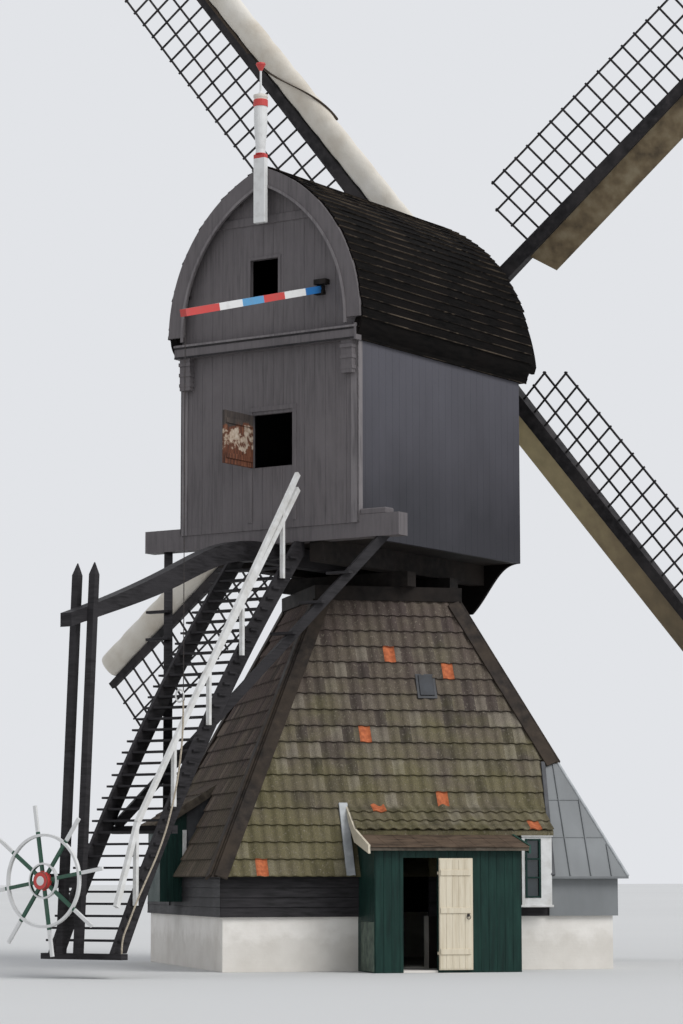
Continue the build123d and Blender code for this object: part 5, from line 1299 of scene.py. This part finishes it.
# Stage

class MILL_OT_stage(bpy.types.Operator):
    """Floor, lights and camera"""
    bl_idname = "mill.stage"
    bl_label = "Stage"

    def execute(self, context):
        context.scene.view_settings.view_transform = "Standard"
        deselect()
        bpy.ops.mesh.primitive_plane_add(size=1200, location=(0, 0, -0.002))
        floor = added("stage_floor")
        floor.data.materials.append(FINISHES["stage_floor"])
        self.sky(context.scene)
        deselect()
        bpy.ops.object.light_add(type="SUN", rotation=(math.radians(48), 0, math.radians(38)))
        sun = context.object
        sun.data.energy = 1.7
        sun.data.angle = math.radians(30)
        self.camera(context.scene)
        return {"FINISHED"}

    def sky(self, scene):
        """A plain sky that lights the mill less strongly than it is seen itself."""
        scene.world = bpy.data.worlds.new("sky")
        scene.world.use_nodes = True
        nodes, links = scene.world.node_tree.nodes, scene.world.node_tree.links
        lit, seen = nodes["Background"], nodes.new("ShaderNodeBackground")
        for node, colour, strength in ((lit, (226, 229, 236), 0.75), (seen, (226, 228, 232), 1.0)):
            node.inputs["Color"].default_value = tone(*colour)
            node.inputs["Strength"].default_value = strength
        path = nodes.new("ShaderNodeLightPath")
        either = nodes.new("ShaderNodeMath")
        either.operation = "MAXIMUM"
        mix = nodes.new("ShaderNodeMixShader")
        for source, target in ((path.outputs["Is Camera Ray"], either.inputs[0]),
                               (path.outputs["Is Glossy Ray"], either.inputs[1]),
                               (either.outputs[0], mix.inputs[0]), (lit.outputs[0], mix.inputs[1]),
                               (seen.outputs[0], mix.inputs[2]),
                               (mix.outputs[0], nodes["World Output"].inputs["Surface"])):
            links.new(source, target)

    def camera(self, scene):
        bpy.ops.object.camera_add(location=CAMERA_PLACE)
        camera = scene.camera = bpy.context.object
        yaw, pitch = math.radians(CAMERA_YAW), math.radians(CAMERA_PITCH)
        ahead = Vector((math.sin(yaw) * math.cos(pitch), math.cos(yaw) * math.cos(pitch), math.sin(pitch)))
        roll = Matrix.Rotation(math.radians(CAMERA_ROLL), 3, "Z")
        camera.rotation_mode = "QUATERNION"
        camera.rotation_quaternion = (ahead.to_track_quat("-Z", "Y").to_matrix() @ roll).to_quaternion()
        camera.data.lens = CAMERA_LENS
        camera.data.sensor_width = 36
        camera.data.clip_end = 2000


# Settings and panel

class MillSizes(bpy.types.PropertyGroup):
    board_width: FloatProperty(name="Board width", description="Width of the upper house's boards",
                               default=0.235, unit="LENGTH")
    roof_courses: IntProperty(name="Roof courses", default=22,
                              description="Board courses on each side of the arched roof")


def colour_property(name, red, green, blue):
    return FloatVectorProperty(name=name, description=f"Colour of the {name.lower()}", subtype="COLOR",
                               size=4, min=0, max=1, default=tone(red, green, blue))


class MillColours(bpy.types.PropertyGroup):
    house: colour_property("House boards", 105, 100, 101)
    house_side: colour_property("Side boards", 68, 67, 73)
    tar: colour_property("Tarred wood", 46, 44, 46)
    roof: colour_property("Arched roof", 21, 19, 18)
    green: colour_property("Porch", 22, 52, 46)
    wheel: colour_property("Wheel", 44, 84, 66)
    cream: colour_property("Door", 222, 212, 190)
    white: colour_property("White paint", 222, 222, 220)
    brown: colour_property("Bare boards", 98, 82, 68)
    moss: colour_property("Front tiles", 106, 97, 80)
    shade_tile: colour_property("Side tiles", 84, 70, 62)
    zinc: colour_property("Zinc", 123, 126, 127)
    new_tile: colour_property("New tiles", 196, 110, 66)
    lime: colour_property("Limewash", 242, 238, 231)
    cloth: colour_property("Sail cloth", 228, 222, 210)


STEPS = ("carried_over", "roof_tiles", "tower_boards", "porches", "zinc_trim", "house_boards",
         "house_roof", "gable_trim", "sail_cloths", "rope", "stage")


class MILL_PT_looks(bpy.types.Panel):
    """Every step of the mill's looks, in order"""
    bl_idname = "MILL_PT_looks"
    bl_label = "Mill looks"
    bl_space_type = "VIEW_3D"
    bl_region_type = "UI"
    bl_category = "Mill"

    def draw(self, context):
        for group in (context.scene.mill_sizes, context.scene.mill_colours):
            for name in group.__annotations__:
                self.layout.prop(group, name)
        for step in STEPS:
            self.layout.operator(f"mill.{step}")


CLASSES = (MillSizes, MillColours, MILL_OT_carried_over, MILL_OT_roof_tiles, MILL_OT_tower_boards,
           MILL_OT_porches, MILL_OT_zinc_trim, MILL_OT_house_boards, MILL_OT_house_roof, MILL_OT_gable_trim,
           MILL_OT_sail_cloths, MILL_OT_rope, MILL_OT_stage, MILL_PT_looks)


def register():
    for cls in CLASSES:
        bpy.utils.register_class(cls)
    bpy.types.Scene.mill_sizes = PointerProperty(type=MillSizes)
    bpy.types.Scene.mill_colours = PointerProperty(type=MillColours)


def unregister():
    del bpy.types.Scene.mill_colours
    del bpy.types.Scene.mill_sizes
    for cls in reversed(CLASSES):
        bpy.utils.unregister_class(cls)


def main():
    register()
    for step in STEPS:
        getattr(bpy.ops.mill, step)()


if __name__ == "__main__":
    main()
